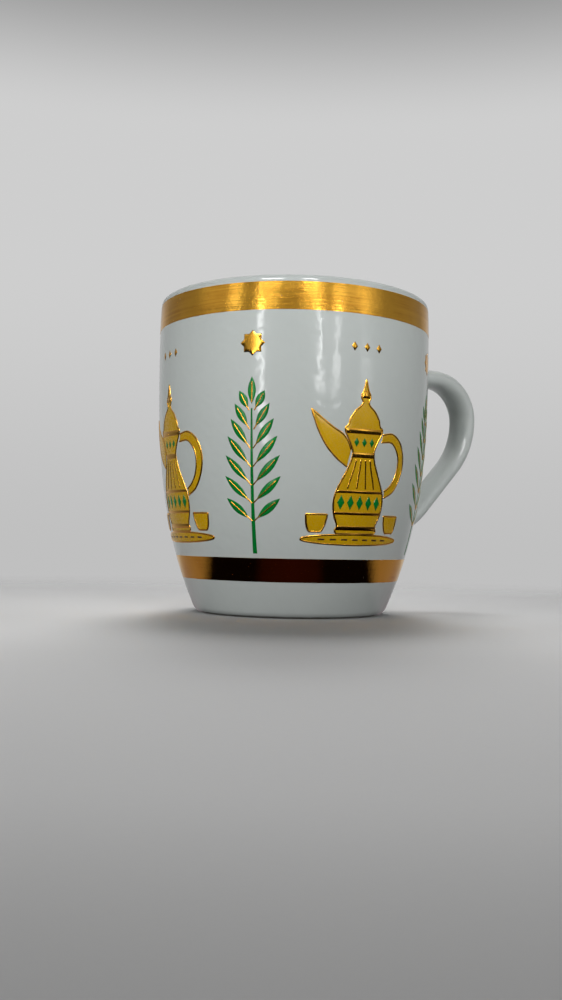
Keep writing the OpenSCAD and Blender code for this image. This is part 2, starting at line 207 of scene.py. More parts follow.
class CoffeeCupSettings(bpy.types.PropertyGroup):
    """All the values of the coffee cup."""

    cup: PointerProperty(type=CupShape)
    bands: PointerProperty(type=BandShape)
    handle: PointerProperty(type=HandleShape)
    frieze: PointerProperty(type=FriezeShape)
    finish: PointerProperty(type=CupFinish)
    stage: PointerProperty(type=StageSetup)


def settings():
    return bpy.context.scene.coffee_cup


class Sheet:
    """Puts nodes on a tree from left to right and wires them by socket name or number."""

    def __init__(self, tree):
        self.tree = tree
        self.columns = {}
        self.rows = {}

    def put(self, kind, values=None, **choices):
        node = self.tree.nodes.new(kind)
        for key, value in choices.items():
            setattr(node, key, value)
        column = 0
        for key, value in (values or {}).items():
            socket = node.inputs[key]
            if isinstance(value, bpy.types.NodeSocket):
                self.tree.links.new(value, socket)
                column = max(column, self.columns[value.node.name] + 1)
            else:
                socket.default_value = value
        self.columns[node.name] = column
        row = self.rows.get(column, 0)
        self.rows[column] = row + 1
        node.location = (220 * column, -220 * row)
        return node

    def math(self, operation, *values):
        return self.put("ShaderNodeMath", dict(enumerate(values)), operation=operation).outputs[0]

    def plus(self, first, second):
        return self.math("ADD", first, second)

    def minus(self, first, second):
        return self.math("SUBTRACT", first, second)

    def times(self, first, *others):
        for other in others:
            first = self.math("MULTIPLY", first, other)
        return first

    def vector(self, operation, *values):
        return self.put("ShaderNodeVectorMath", dict(enumerate(values)), operation=operation).outputs[0]

    def scaled(self, vector, scale):
        return self.put("ShaderNodeVectorMath", {0: vector, "Scale": scale}, operation="SCALE").outputs[0]

    def combine(self, x, y, z):
        return self.put("ShaderNodeCombineXYZ", {0: x, 1: y, 2: z}).outputs[0]

    def separate(self, vector):
        return self.put("ShaderNodeSeparateXYZ", {0: vector}).outputs

    def measure(self, operation, *values):
        """Vector math that gives a number."""
        node = self.put("ShaderNodeVectorMath", dict(enumerate(values)), operation=operation)
        return node.outputs["Value"]

    def fit(self, value, low, high, to_low=0.0, to_high=1.0, curve="LINEAR"):
        """Maps one range of values to another."""
        ends = {"Value": value, "From Min": low, "From Max": high, "To Min": to_low, "To Max": to_high}
        return self.put("ShaderNodeMapRange", ends, interpolation_type=curve).outputs[0]

    def ease(self, *ends):
        """Maps one range of values to another, softly at both ends."""
        return self.fit(*ends, curve="SMOOTHSTEP")

    def blend(self, share, first, second):
        """Mixes two colours."""
        node = self.put("ShaderNodeMix", {0: share, 6: first, 7: second}, data_type="RGBA")
        return node.outputs[2]

    def noise(self, vector, scale, detail, roughness=0.5):
        return self.put("ShaderNodeTexNoise", {"Vector": vector, "Scale": scale, "Detail": detail,
                                               "Roughness": roughness}).outputs[0]

    def wander(self, vector, scale, detail, reach):
        """Noise that swings to both sides of zero."""
        return self.times(self.minus(self.noise(vector, scale, detail), 0.5), 2, reach)


GEOMETRY = ("NodeSocketGeometry", None)
MATERIAL = ("NodeSocketMaterial", None)
COLOUR = ("NodeSocketColor", (1.0, 1.0, 1.0, 1.0))
VECTOR = ("NodeSocketVector", None)
SEAM_GAP = 1e-6
RAY_START = 0.2
NOISE_RANGE = (0.3, 0.7)
WAVE_SCALE = 70
PINHOLE_SCALE = 190.0


def number(value):
    return ("NodeSocketFloat", value)


def whole(value):
    return ("NodeSocketInt", value)


def new_tree(name, kind, inputs, outputs):
    """A node group with named sockets. A new one comes with its sheet and the sockets that it is given."""
    found = bpy.data.node_groups.get(name)
    if found:
        return found, None, None
    tree = bpy.data.node_groups.new(name, kind)
    for title, (socket_kind, value) in inputs.items():
        socket = tree.interface.new_socket(title, in_out="INPUT", socket_type=socket_kind)
        if value is not None:
            socket.default_value = value
    for title, socket_kind in outputs.items():
        tree.interface.new_socket(title, in_out="OUTPUT", socket_type=socket_kind)
    sheet = Sheet(tree)
    given = sheet.put("NodeGroupInput")
    return tree, sheet, {s.name: s for s in given.outputs if s.name}


def geometry_tree(name, inputs):
    return new_tree(name, "GeometryNodeTree", inputs, {"Geometry": "NodeSocketGeometry"})


def shader_tree(name, inputs, outputs):
    return new_tree(name, "ShaderNodeTree", inputs, outputs)


def close_tree(sheet, geometry, material):
    """Every tree ends in real meshes with their material."""
    smooth = sheet.put("GeometryNodeSetShadeSmooth", {"Geometry": geometry})
    real = sheet.put("GeometryNodeRealizeInstances", {"Geometry": smooth.outputs[0]})
    dressed = sheet.put("GeometryNodeSetMaterial", {"Geometry": real.outputs[0], "Material": material})
    sheet.put("NodeGroupOutput", {"Geometry": dressed.outputs[0]})


def read_point(sheet, geometry, value, row, kind="FLOAT_VECTOR"):
    node = sheet.put("GeometryNodeSampleIndex", {"Geometry": geometry, "Index": row}, data_type=kind)
    sheet.tree.links.new(value, node.inputs["Value"])
    return node.outputs[0]


def named_value(sheet, name, kind="FLOAT"):
    return sheet.put("GeometryNodeInputNamedAttribute", {"Name": name}, data_type=kind).outputs[0]


def wound_grid(sheet, path, steps):
    """A grid with a row for each point of a path and a column for each step of a turn.

    The row, the place on the path and the angle of each of its points come with it.
    """
    count = sheet.put("GeometryNodeAttributeDomainSize", {"Geometry": path}).outputs[0]
    columns = sheet.plus(steps, 1)
    grid = sheet.put("GeometryNodeMeshGrid", {"Vertices X": count, "Vertices Y": columns}).outputs[0]
    index = sheet.put("GeometryNodeInputIndex").outputs[0]
    row = sheet.math("FLOOR", sheet.math("DIVIDE", sheet.plus(index, 0.5), columns))
    column = sheet.minus(index, sheet.times(row, columns))
    place = read_point(sheet, path, sheet.put("GeometryNodeInputPosition").outputs[0], row)
    return grid, row, place, sheet.math("DIVIDE", sheet.times(column, math.tau), steps)


def close_shell(sheet, grid, place, material):
    """Moves the points of a wound grid to their places and closes its seam and its ends."""
    moved = sheet.put("GeometryNodeSetPosition", {"Geometry": grid, "Position": place})
    joined = sheet.put("GeometryNodeMergeByDistance", {"Geometry": moved.outputs[0], "Distance": SEAM_GAP})
    close_tree(sheet, joined.outputs[0], material)


def turned_piece_tree():
    """Turns a profile, drawn in the XZ plane, about the Z axis."""
    tree, sheet, given = geometry_tree("Turned piece", {
        "Profile": GEOMETRY, "Steps in a turn": whole(256), "Brush wander": number(0.0),
        "Seed": number(0.0), "Material": MATERIAL})
    if sheet is None:
        return tree
    grid, _, place, angle = wound_grid(sheet, given["Profile"], given["Steps in a turn"])
    turned = sheet.put("ShaderNodeVectorRotate", {"Vector": place, "Angle": angle},
                       rotation_type="Z_AXIS").outputs[0]
    drift = sheet.vector("ADD", sheet.vector("MULTIPLY", turned, (1, 1, 3)),
                         sheet.combine(given["Seed"], 0, 0))
    lift = sheet.wander(drift, 90, 3, given["Brush wander"])
    close_shell(sheet, grid, sheet.vector("ADD", turned, sheet.combine(0, 0, lift)), given["Material"])
    return tree


def swept_ear_tree():
    """Sweeps a rounded section along a path. The path's points carry the section's up and its growth."""
    tree, sheet, given = geometry_tree("Swept ear", {
        "Path": GEOMETRY, "Width": number(0.01), "Thickness": number(0.01), "Roundness": number(2.0),
        "Sides": whole(56), "Material": MATERIAL})
    if sheet is None:
        return tree
    grid, row, place, angle = wound_grid(sheet, given["Path"], given["Sides"])
    up = read_point(sheet, given["Path"], named_value(sheet, "up", "FLOAT_VECTOR"), row)
    grow = read_point(sheet, given["Path"], named_value(sheet, "grow"), row, "FLOAT")
    power = sheet.math("DIVIDE", 2, given["Roundness"])

    def spread(wave, size):
        swing = sheet.math(wave, angle)
        bulge = sheet.math("POWER", sheet.math("ABSOLUTE", swing), power)
        return sheet.times(sheet.math("SIGN", swing), bulge, size, sheet.times(grow, 0.5))

    across = sheet.combine(0, spread("COSINE", given["Width"]), 0)
    upward = sheet.scaled(up, spread("SINE", given["Thickness"]))
    ring = sheet.vector("ADD", place, sheet.vector("ADD", across, upward))
    close_shell(sheet, grid, ring, given["Material"])
    return tree


def gold_line_tree():
    """Lays a rounded line of gold along flat edges. Its weight varies as a hand-drawn line's does."""
    tree, sheet, given = geometry_tree("Gold line", {
        "Drawing": GEOMETRY, "Width": number(0.0005), "Build-up": number(0.0002), "Step": number(0.0004),
        "Weight wander": number(0.3), "Seed": number(0.0), "Material": MATERIAL})
    if sheet is None:
        return tree
    curve = sheet.put("GeometryNodeMeshToCurve", {"Mesh": given["Drawing"]})
    even = sheet.put("GeometryNodeResampleCurve", {"Curve": curve.outputs[0], "Length": given["Step"]},
                     mode="LENGTH")
    level = sheet.put("GeometryNodeSetCurveNormal", {"Curve": even.outputs[0]}, mode="Z_UP")
    position = sheet.put("GeometryNodeInputPosition").outputs[0]
    drift = sheet.vector("ADD", position, sheet.combine(given["Seed"], 0, 0))
    weight = sheet.plus(1, sheet.wander(drift, 450, 2, given["Weight wander"]))
    ring = sheet.put("GeometryNodeCurvePrimitiveCircle", {"Resolution": 10, "Radius": 1.0})
    half = sheet.times(given["Width"], 0.5)
    oval = sheet.put("GeometryNodeTransform", {"Geometry": ring.outputs[0],
                                               "Scale": sheet.combine(half, given["Build-up"], 1)})
    line = sheet.put("GeometryNodeCurveToMesh", {"Curve": level.outputs[0], "Profile Curve": oval.outputs[0],
                                                 "Scale": weight, "Fill Caps": True})
    close_tree(sheet, line.outputs[0], given["Material"])
    return tree


def leaf_sprig_tree():
    """Sets pairs of leaves along an upright stem. Points marked stay are kept where they are."""
    tree, sheet, given = geometry_tree("Leaf sprig", {
        "Leaf": GEOMETRY, "Pairs": whole(7), "First": number(0.0), "Last": number(0.03),
        "First lean": number(0.9), "Last lean": number(0.5), "Gap": number(0.001), "Peak": number(0.35),
        "Least": number(0.55), "Material": MATERIAL})
    if sheet is None:
        return tree
    stay = sheet.math("GREATER_THAN", named_value(sheet, "stay"), 0.5)
    parted = sheet.put("GeometryNodeSeparateGeometry", {"Geometry": given["Leaf"], "Selection": stay})
    index = sheet.put("GeometryNodeInputIndex").outputs[0]
    pair = sheet.math("FLOOR", sheet.times(sheet.plus(index, 0.5), 0.5))
    odd = sheet.minus(index, sheet.times(pair, 2))
    side = sheet.minus(sheet.times(odd, 2), 1)
    up = sheet.math("DIVIDE", pair, sheet.minus(given["Pairs"], 1))
    foot = sheet.fit(up, 0, 1, given["First"], given["Last"])
    lean = sheet.fit(up, 0, 1, given["First lean"], given["Last lean"])
    away = sheet.math("DIVIDE", sheet.minus(up, given["Peak"]), sheet.minus(1, given["Peak"]))
    length = sheet.minus(1, sheet.times(away, away, sheet.minus(1, given["Least"])))
    turn = sheet.times(side, lean, -1)
    rotation = sheet.put("FunctionNodeEulerToRotation", {0: sheet.combine(0, 0, turn)}).outputs[0]
    places = sheet.put("GeometryNodePoints", {
        "Count": sheet.times(given["Pairs"], 2),
        "Position": sheet.combine(sheet.times(side, given["Gap"]), foot, 0)})
    leaves = sheet.put("GeometryNodeInstanceOnPoints", {
        "Points": places.outputs[0], "Instance": parted.outputs[1], "Rotation": rotation,
        "Scale": sheet.combine(1, length, 1)})
    sprig = sheet.put("GeometryNodeJoinGeometry")
    tree.links.new(leaves.outputs[0], sprig.inputs[0])
    tree.links.new(parted.outputs[0], sprig.inputs[0])
    sheet.columns[sprig.name] = sheet.columns[leaves.name] + 1
    close_tree(sheet, sprig.outputs[0], given["Material"])
    return tree


def frieze_tree():
    """Wraps a flat motif on the wall of the cup and repeats it around the axis."""
    tree, sheet, given = geometry_tree("Frieze", {
        "Motif": GEOMETRY, "Cup": ("NodeSocketObject", None), "First angle": number(0.0),
        "Step angle": number(1.0), "Places": whole(4), "Material": MATERIAL})
    if sheet is None:
        return tree
    cup = sheet.put("GeometryNodeObjectInfo", {"Object": given["Cup"]}, transform_space="RELATIVE")
    position = sheet.put("GeometryNodeInputPosition").outputs[0]
    x, y, z = sheet.separate(position)[:3]
    cast = sheet.put("GeometryNodeRaycast", {
        "Target Geometry": cup.outputs["Geometry"], "Source Position": sheet.combine(RAY_START, x, y),
        "Ray Direction": (-1, 0, 0), "Ray Length": 2 * RAY_START})
    proud = sheet.vector("ADD", cast.outputs["Hit Position"], sheet.scaled(cast.outputs["Hit Normal"], z))
    wrapped = sheet.put("GeometryNodeSetPosition", {"Geometry": given["Motif"], "Position": proud})
    index = sheet.put("GeometryNodeInputIndex").outputs[0]
    angle = sheet.plus(given["First angle"], sheet.times(index, given["Step angle"]))
    rotation = sheet.put("FunctionNodeEulerToRotation", {0: sheet.combine(0, 0, angle)}).outputs[0]
    places = sheet.put("GeometryNodePoints", {"Count": given["Places"]})
    round_cup = sheet.put("GeometryNodeInstanceOnPoints", {
        "Points": places.outputs[0], "Instance": wrapped.outputs[0], "Rotation": rotation})
    close_tree(sheet, round_cup.outputs[0], given["Material"])
    return tree


def add_tree(piece, tree, **values):
    """Puts a tree on a piece, with its inputs set by their identifiers."""
    modifier = piece.modifiers.new(tree.name, "NODES")
    modifier.node_group = tree
    titles = {s.name.lower().replace(" ", "_").replace("-", "_"): s.identifier
              for s in tree.interface.items_tree if s.item_type == "SOCKET" and s.in_out == "INPUT"}
    for title, value in values.items():
        modifier[titles[title]] = value


def new_object(name, data):
    thing = bpy.data.objects.new(name, data)
    bpy.context.scene.collection.objects.link(thing)
    return thing


def new_mesh(name, points, edges=(), faces=()):
    mesh = bpy.data.meshes.new(name)
    mesh.from_pydata(points, edges, faces)
    return mesh


def mark(mesh, title, values, kind="FLOAT", field="value"):
    """Gives each point of a mesh a value under a title."""
    mesh.attributes.new(title, kind, "POINT").data.foreach_set(field, values)


def make_plain(piece):
    """Turns the result of a piece's modifiers into its own plain mesh."""
    depsgraph = bpy.context.evaluated_depsgraph_get()
    mesh = bpy.data.meshes.new_from_object(piece.evaluated_get(depsgraph), preserve_all_data_layers=True,
                                           depsgraph=depsgraph)
    if not mesh.polygons:
        raise RuntimeError(f"{piece.name} came out empty")
    while mesh.materials and mesh.materials[0] is None:
        mesh.materials.pop(index=0)
    piece.modifiers.clear()
    piece.data = mesh
    mesh.name = piece.name
    return piece


def hand_over(piece, slot, *nodes):
    """Fixes a finished piece to the part and hides the CAD nodes that it stands for."""
    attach(piece, ROOT_BODY)
    if nodes:
        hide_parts(*nodes)
    return piece


def line_mesh(name, lines):
    """A mesh of edges along lines. Each line is its points and whether it is closed."""
    points = []
    edges = []
    for line, closed in lines:
        first = len(points)
        points += [tuple(p) if len(p) == 3 else (p[0], p[1], 0.0) for p in line]
        last = len(points) - 1
        edges += [(i, i + 1) for i in range(first, last)]
        if closed:
            edges.append((last, first))
    return new_mesh(name, points, edges)


def arc(centre_r, centre_z, radius, start, end, steps):
    """Points of an arc from one angle to another, in degrees, both ends included."""
    angles = np.radians(np.linspace(start, end, steps + 1))
    return [(centre_r + radius * math.cos(a), centre_z + radius * math.sin(a)) for a in angles]


def climb(low, high, step):
    """Heights from above the low one up to the high one."""
    count = max(1, math.ceil(abs(high - low) / step))
    return [low + (high - low) * i / count for i in range(1, count + 1)]


def eased(value, low, high):
    """Share of the way from one value to another, softly at both ends."""
    share = min(max((value - low) / (high - low), 0.0), 1.0)
    return share * share * (3 - 2 * share)


def wall_radius(z):
    """Outside radius of the wall at a height."""
    cup = settings().cup
    lip_height = cup.height - cup.lip_wall / 2
    if z >= cup.belly_height:
        drawn = ((z - cup.belly_height) / (lip_height - cup.belly_height)) ** 2
        return cup.belly_radius - cup.lip_draw * drawn
    turned = ((cup.belly_height - z) / cup.belly_height) ** cup.turn_in
    return cup.belly_radius - (cup.belly_radius - cup.base_radius) * turned


def inner_radius(z):
    """Inside radius of the wall at a height."""
    cup = settings().cup
    lip_height = cup.height - cup.lip_wall / 2
    floor_height = cup.foot_recess + cup.floor_thickness
    share = (lip_height - z) / (lip_height - floor_height)
    return wall_radius(z) - cup.lip_wall - (cup.floor_wall - cup.lip_wall) * share


def lean_of(radius_at, z):
    """Lean of a wall from the upright at a height, in degrees."""
    step = 0.01 * MM
    return math.degrees(math.atan2(radius_at(z + step) - radius_at(z - step), 2 * step))


def cup_profile():
    """Half section of the cup, from the axis under the foot, over the lip, to the axis on the floor."""
    cup = settings().cup
    step = 0.9 * MM
    soft = 0.3 * MM
    lip_height = cup.height - cup.lip_wall / 2
    floor_height = cup.foot_recess + cup.floor_thickness
    base_lean = lean_of(wall_radius, cup.base_corner)
    base_top = cup.base_corner * (1 - math.sin(math.radians(base_lean)))
    foot_out = wall_radius(base_top) - cup.base_corner * math.cos(math.radians(base_lean))
    foot_in = foot_out - cup.foot_width
    floor_lean = lean_of(inner_radius, floor_height + cup.floor_corner / 2)
    floor_top = floor_height + cup.floor_corner * (1 - math.sin(math.radians(floor_lean)))
    floor_flat = inner_radius(floor_top) - cup.floor_corner * math.cos(math.radians(floor_lean))
    hollow_edge = foot_in - cup.foot_recess
    points = [(0.0, cup.foot_recess)]
    points += [(r, cup.foot_recess) for r in climb(0, hollow_edge, 3 * MM)]
    points += [p for p in arc(hollow_edge, 0, cup.foot_recess, 90, 0, 10)[1:] if p[1] > soft]
    points += arc(foot_in + soft, soft, soft, 180, 270, 4)
    points += arc(foot_out, cup.base_corner, cup.base_corner, -90, -base_lean, 14)
    points += [(wall_radius(z), z) for z in climb(base_top, lip_height, step)]
    lip_radius = wall_radius(lip_height)
    points += arc(lip_radius - cup.lip_wall / 2, lip_height, cup.lip_wall / 2, 0, 180, 20)[1:]
    points += [(inner_radius(z), z) for z in climb(lip_height, floor_top, step * 1.3)]
    points += arc(floor_flat, floor_height + cup.floor_corner, cup.floor_corner, -floor_lean, -90, 18)[1:]
    points += [(r, floor_height) for r in climb(floor_flat, 0, 2 * MM)]
    return points


def turned_piece(name, profile, closed, material, wander=0.0, seed=0.0):
    points = [(r, 0.0, z) for r, z in (profile + profile[:1] if closed else profile)]
    piece = new_object(name, line_mesh(name, [(points, False)]))
    add_tree(piece, turned_piece_tree(), steps_in_a_turn=settings().cup.turn_steps, brush_wander=wander,
             seed=seed, material=material)
    return make_plain(piece)


def band_profile(low, high, build_up):
    """Section of a brushed band, its edges crisp and a little undercut, its back sunk into the glaze."""
    undercut = 0.012 * MM
    corner = 0.1 * MM
    edge_sink = 0.02 * MM
    back_sink = 0.06 * MM
    heights = [low, low + corner] + climb(low + corner, high - corner, 0.45 * MM) + [high]
    face = [(wall_radius(low) - edge_sink, low + undercut)]
    face += [(wall_radius(z) + build_up, z) for z in heights]
    face += [(wall_radius(high) - edge_sink, high - undercut)]
    return face + [(wall_radius(z) - back_sink, z) for z in reversed(heights)]


class EarPath:
    """Centre line of the handle in the plane of the cup's axis, measured along its length."""

    depth = 1.5 * MM
    mitre_length = 8 * MM

    def __init__(self):
        ear = settings().handle
        drop = ear.tail_drop
        self.arm_wall = np.array([wall_radius(ear.top_height), ear.top_height])
        self.tail_wall = np.array([wall_radius(ear.tail_height), ear.tail_height])
        arm_reach = ear.reach - ear.thickness / 2
        side_height = ear.top_height - ear.upper_bend
        arm_end = np.array([arm_reach - ear.upper_bend, ear.top_height])
        outer = np.array([arm_reach - ear.outer_bend, side_height])
        inward = np.array([math.cos(drop), math.sin(drop)])
        tail_start = self.tail_wall + ear.tail_run * inward
        tail = tail_start + ear.tail_bend * np.array([-math.sin(drop), math.cos(drop)])
        span = outer - tail
        leg = math.acos((ear.outer_bend - ear.tail_bend) / math.hypot(*span)) - math.atan2(*span)
        under = np.array([math.sin(leg), -math.cos(leg)])
        self.parts = [
            self.run(self.arm_wall - [self.depth, 0], arm_end, 0),
            self.bend(np.array([arm_end[0], side_height]), ear.upper_bend, 0, math.pi / 2),
            self.bend(outer, ear.outer_bend, math.pi / 2, math.pi - leg),
            self.run(outer + ear.outer_bend * under, tail + ear.tail_bend * under, math.pi - leg),
            self.bend(tail, ear.tail_bend, math.pi - leg, math.pi - drop),
            self.run(tail_start, self.tail_wall - self.depth * inward, math.pi - drop)]
        self.length = sum(part[0] for part in self.parts)

    @staticmethod
    def run(start, end, turn):
        size = math.hypot(*(end - start))
        return size, lambda s: (start + (end - start) * s / size, turn)

    @staticmethod
    def bend(centre, radius, start, end):
        size = radius * abs(end - start)

        def at(s):
            turn = start + (end - start) * s / size
            return centre + radius * np.array([math.sin(turn), math.cos(turn)]), turn

        return size, at

    def at(self, s):
        """The point and the turn of the path at a distance along it."""
        for size, place in self.parts[:-1]:
            if s <= size:
                return place(s)
            s -= size
        return self.parts[-1][1](s)

    def grow(self, point):
        """Widening of the section towards the nearer end."""
        ear = settings().handle
        gap = min(math.hypot(*(point - self.arm_wall)), math.hypot(*(point - self.tail_wall)))
        return 1 + ear.root_share * eased(gap, ear.root_length, 0)

    def up(self, s):
        """The section's up. Close to the tail it leans until it follows the slope of the wall."""
        ear = settings().handle
        turn = self.at(s)[1]
        square = np.array([math.sin(turn), math.cos(turn)])
        slope = math.radians(lean_of(wall_radius, ear.tail_height))
        along = -np.array([math.sin(slope), math.cos(slope)])
        mitred = along / max(0.2, along @ square)
        share = eased(self.length - self.depth - s, self.mitre_length, 0)
        return square * (1 - share) + mitred * share

    def surface(self, s, angle):
        """A point of the handle's skin: along the path and around the section."""
        ear = settings().handle
        point, turn = self.at(s)
        grow = self.grow(point)
        power = 2 / ear.roundness
        swing = [math.copysign(abs(v) ** power, v) for v in (math.cos(angle), math.sin(angle))]
        rise = ear.thickness / 2 * grow * swing[1]
        flat = point + rise * np.array([math.sin(turn), math.cos(turn)])
        return np.array([flat[0], ear.width / 2 * grow * swing[0], flat[1]])


HANDLE_STATIONS = 150
HANDLE_SIDES = 56


def handle_piece(material):
    """The ear handle. The path's ends are doubled, with no growth at the first and the last, to close it."""
    path = EarPath()
    ear = settings().handle
    stations = [0.0] + list(np.linspace(0, path.length, HANDLE_STATIONS)) + [path.length]
    points = [path.at(s)[0] for s in stations]
    mesh = line_mesh("ear_handle", [([(p[0], 0.0, p[1]) for p in points], False)])
    lifts = [path.up(s) for s in stations]
    mark(mesh, "up", [v for lift in lifts for v in (lift[0], 0.0, lift[1])], "FLOAT_VECTOR", "vector")
    growth = [path.grow(p) for p in points]
    growth[0] = growth[-1] = 0.0
    mark(mesh, "grow", growth)
    piece = new_object("ear_handle", mesh)
    add_tree(piece, swept_ear_tree(), width=ear.width, thickness=ear.thickness, roundness=ear.roundness,
             sides=HANDLE_SIDES, material=material)
    return make_plain(piece)


def wall_gap(point):
    """How far a point stands outside the wall, level with it."""
    return math.hypot(point[0], point[1]) - wall_radius(point[2])


def on_wall(y, z, proud=0.0):
    """The point of the wall on the handle's side at a height and a distance from the middle plane."""
    radius = wall_radius(z) + proud
    return np.array([math.sqrt(radius * radius - y * y), y, z])


SLIP_SIDES = 96
SLIP_STEPS = 9
HALVINGS = 40


def slip_crossing(path, start, step, angle):
    """Where a line along the handle's skin leaves the wall."""
    low, high = start, start + step
    for _ in range(HALVINGS):
        middle = (low + high) / 2
        if wall_gap(path.surface(middle, angle)) < 0:
            low = middle
        else:
            high = middle
    return low


def slip_piece(name, path, start, step, material, seed):
    """A hollow fillet of slip, wiped round by hand, where an end of the handle meets the wall.

    The wall is crossed on the step that follows the start of the path, or leads back from its end.
    """
    edge_sink = 0.03 * MM
    back_sink = 0.2 * MM
    inner_sink = 0.3 * MM
    inner_set = 0.5 * MM
    sides = SLIP_SIDES
    angles = [math.tau * k / sides for k in range(sides)]
    crossings = [slip_crossing(path, start, step, angle) for angle in angles]
    corners = np.array([path.surface(s, a) for s, a in zip(crossings, angles)])
    rise = np.roll(corners, -1, axis=0) - np.roll(corners, 1, axis=0)
    outward = np.stack([rise[:, 2], -rise[:, 1]], 1)
    outward /= np.linalg.norm(outward, axis=1, keepdims=True)
    centre = corners[:, 1:].mean(0)
    if ((corners[:, 1:] - centre) * outward).sum() < 0:
        outward = -outward
    points = []
    heading = math.copysign(1, step)
    for s, angle, corner, out in zip(crossings, angles, corners, outward):
        wipe = 1 + 0.16 * math.sin(3 * angle + seed) + 0.1 * math.sin(7 * angle + 2 * seed)
        reach = settings().handle.slip_fillet * wipe
        high = path.surface(s + heading * reach, angle)
        y, z = corner[1:] + out * reach
        low = on_wall(y, z, -edge_sink)
        points += [tuple((1 - t) ** 2 * high + 2 * t * (1 - t) * corner + t * t * low)
                   for t in np.linspace(0, 1, SLIP_STEPS)]
        inside = (corner + on_wall(*(corner[1:] - out * inner_set), -inner_sink)) / 2
        points += [tuple(on_wall(y, z, -back_sink)), tuple(inside)]
    size = len(points) // sides
    faces = [(k * size + i, k * size + (i + 1) % size, (k + 1) % sides * size + (i + 1) % size,
              (k + 1) % sides * size + i) for k in range(sides) for i in range(size)]
    mesh = new_mesh(name, points, faces=faces)
    turn_outward(mesh)
    mesh.polygons.foreach_set("use_smooth", [True] * len(mesh.polygons))
    mesh.materials.append(material)
    return new_object(name, mesh)


def turn_outward(mesh):
    """Flips a closed mesh whose faces point inwards."""
    mesh.calc_loop_triangles()
    corners = np.array([v.co for v in mesh.vertices])
    triangles = corners[np.array([t.vertices for t in mesh.loop_triangles])]
    volume = np.einsum("ij,ij->i", triangles[:, 0], np.cross(triangles[:, 1], triangles[:, 2])).sum()
    if volume < 0:
        mesh.flip_normals()


def smooth_run(points, steps=6):
    """Points of a smooth curve through a run of points, with both ends kept."""
    run = np.array(points, float)
    padded = np.vstack([2 * run[0] - run[1], run, 2 * run[-1] - run[-2]])
    t = np.linspace(0, 1, steps, endpoint=False)[:, None]
    curve = []
    for a, b, c, d in zip(padded, padded[1:], padded[2:], padded[3:]):
        curve.extend(0.5 * (2 * b + (c - a) * t + (2 * a - 5 * b + 4 * c - d) * t ** 2
                            + (3 * b - a - 3 * c + d) * t ** 3))
    return np.vstack([curve, run[-1:]])


def spaced(points, step):
    """The same closed line with its long sides cut into steps."""
    run = [np.array(p, float) for p in points]
    line = []
    for a, b in zip(run, run[1:] + run[:1]):
        count = max(1, math.ceil(math.hypot(*(b - a)) / step))
        line += [a + (b - a) * i / count for i in range(count)]
    return np.array(line)


def in_outline(points, loop):
    """Whether each point is inside a closed line."""
    after = np.roll(loop, -1, axis=0)
    x = points[:, 0, None]
    y = points[:, 1, None]
    crosses = (loop[:, 1] > y) != (after[:, 1] > y)
    rise = np.where(after[:, 1] == loop[:, 1], 1.0, after[:, 1] - loop[:, 1])
    at = loop[:, 0] + (y - loop[:, 1]) * (after[:, 0] - loop[:, 0]) / rise
    return (crosses & (x < at)).sum(1) % 2 == 1


def edge_distance(points, loop):
    """How far each point is from a closed line."""
    side = np.roll(loop, -1, axis=0) - loop
    away = points[:, None] - loop
    share = np.clip((away * side).sum(2) / (side * side).sum(1), 0, 1)
    return np.linalg.norm(away - share[..., None] * side, axis=2).min(1)


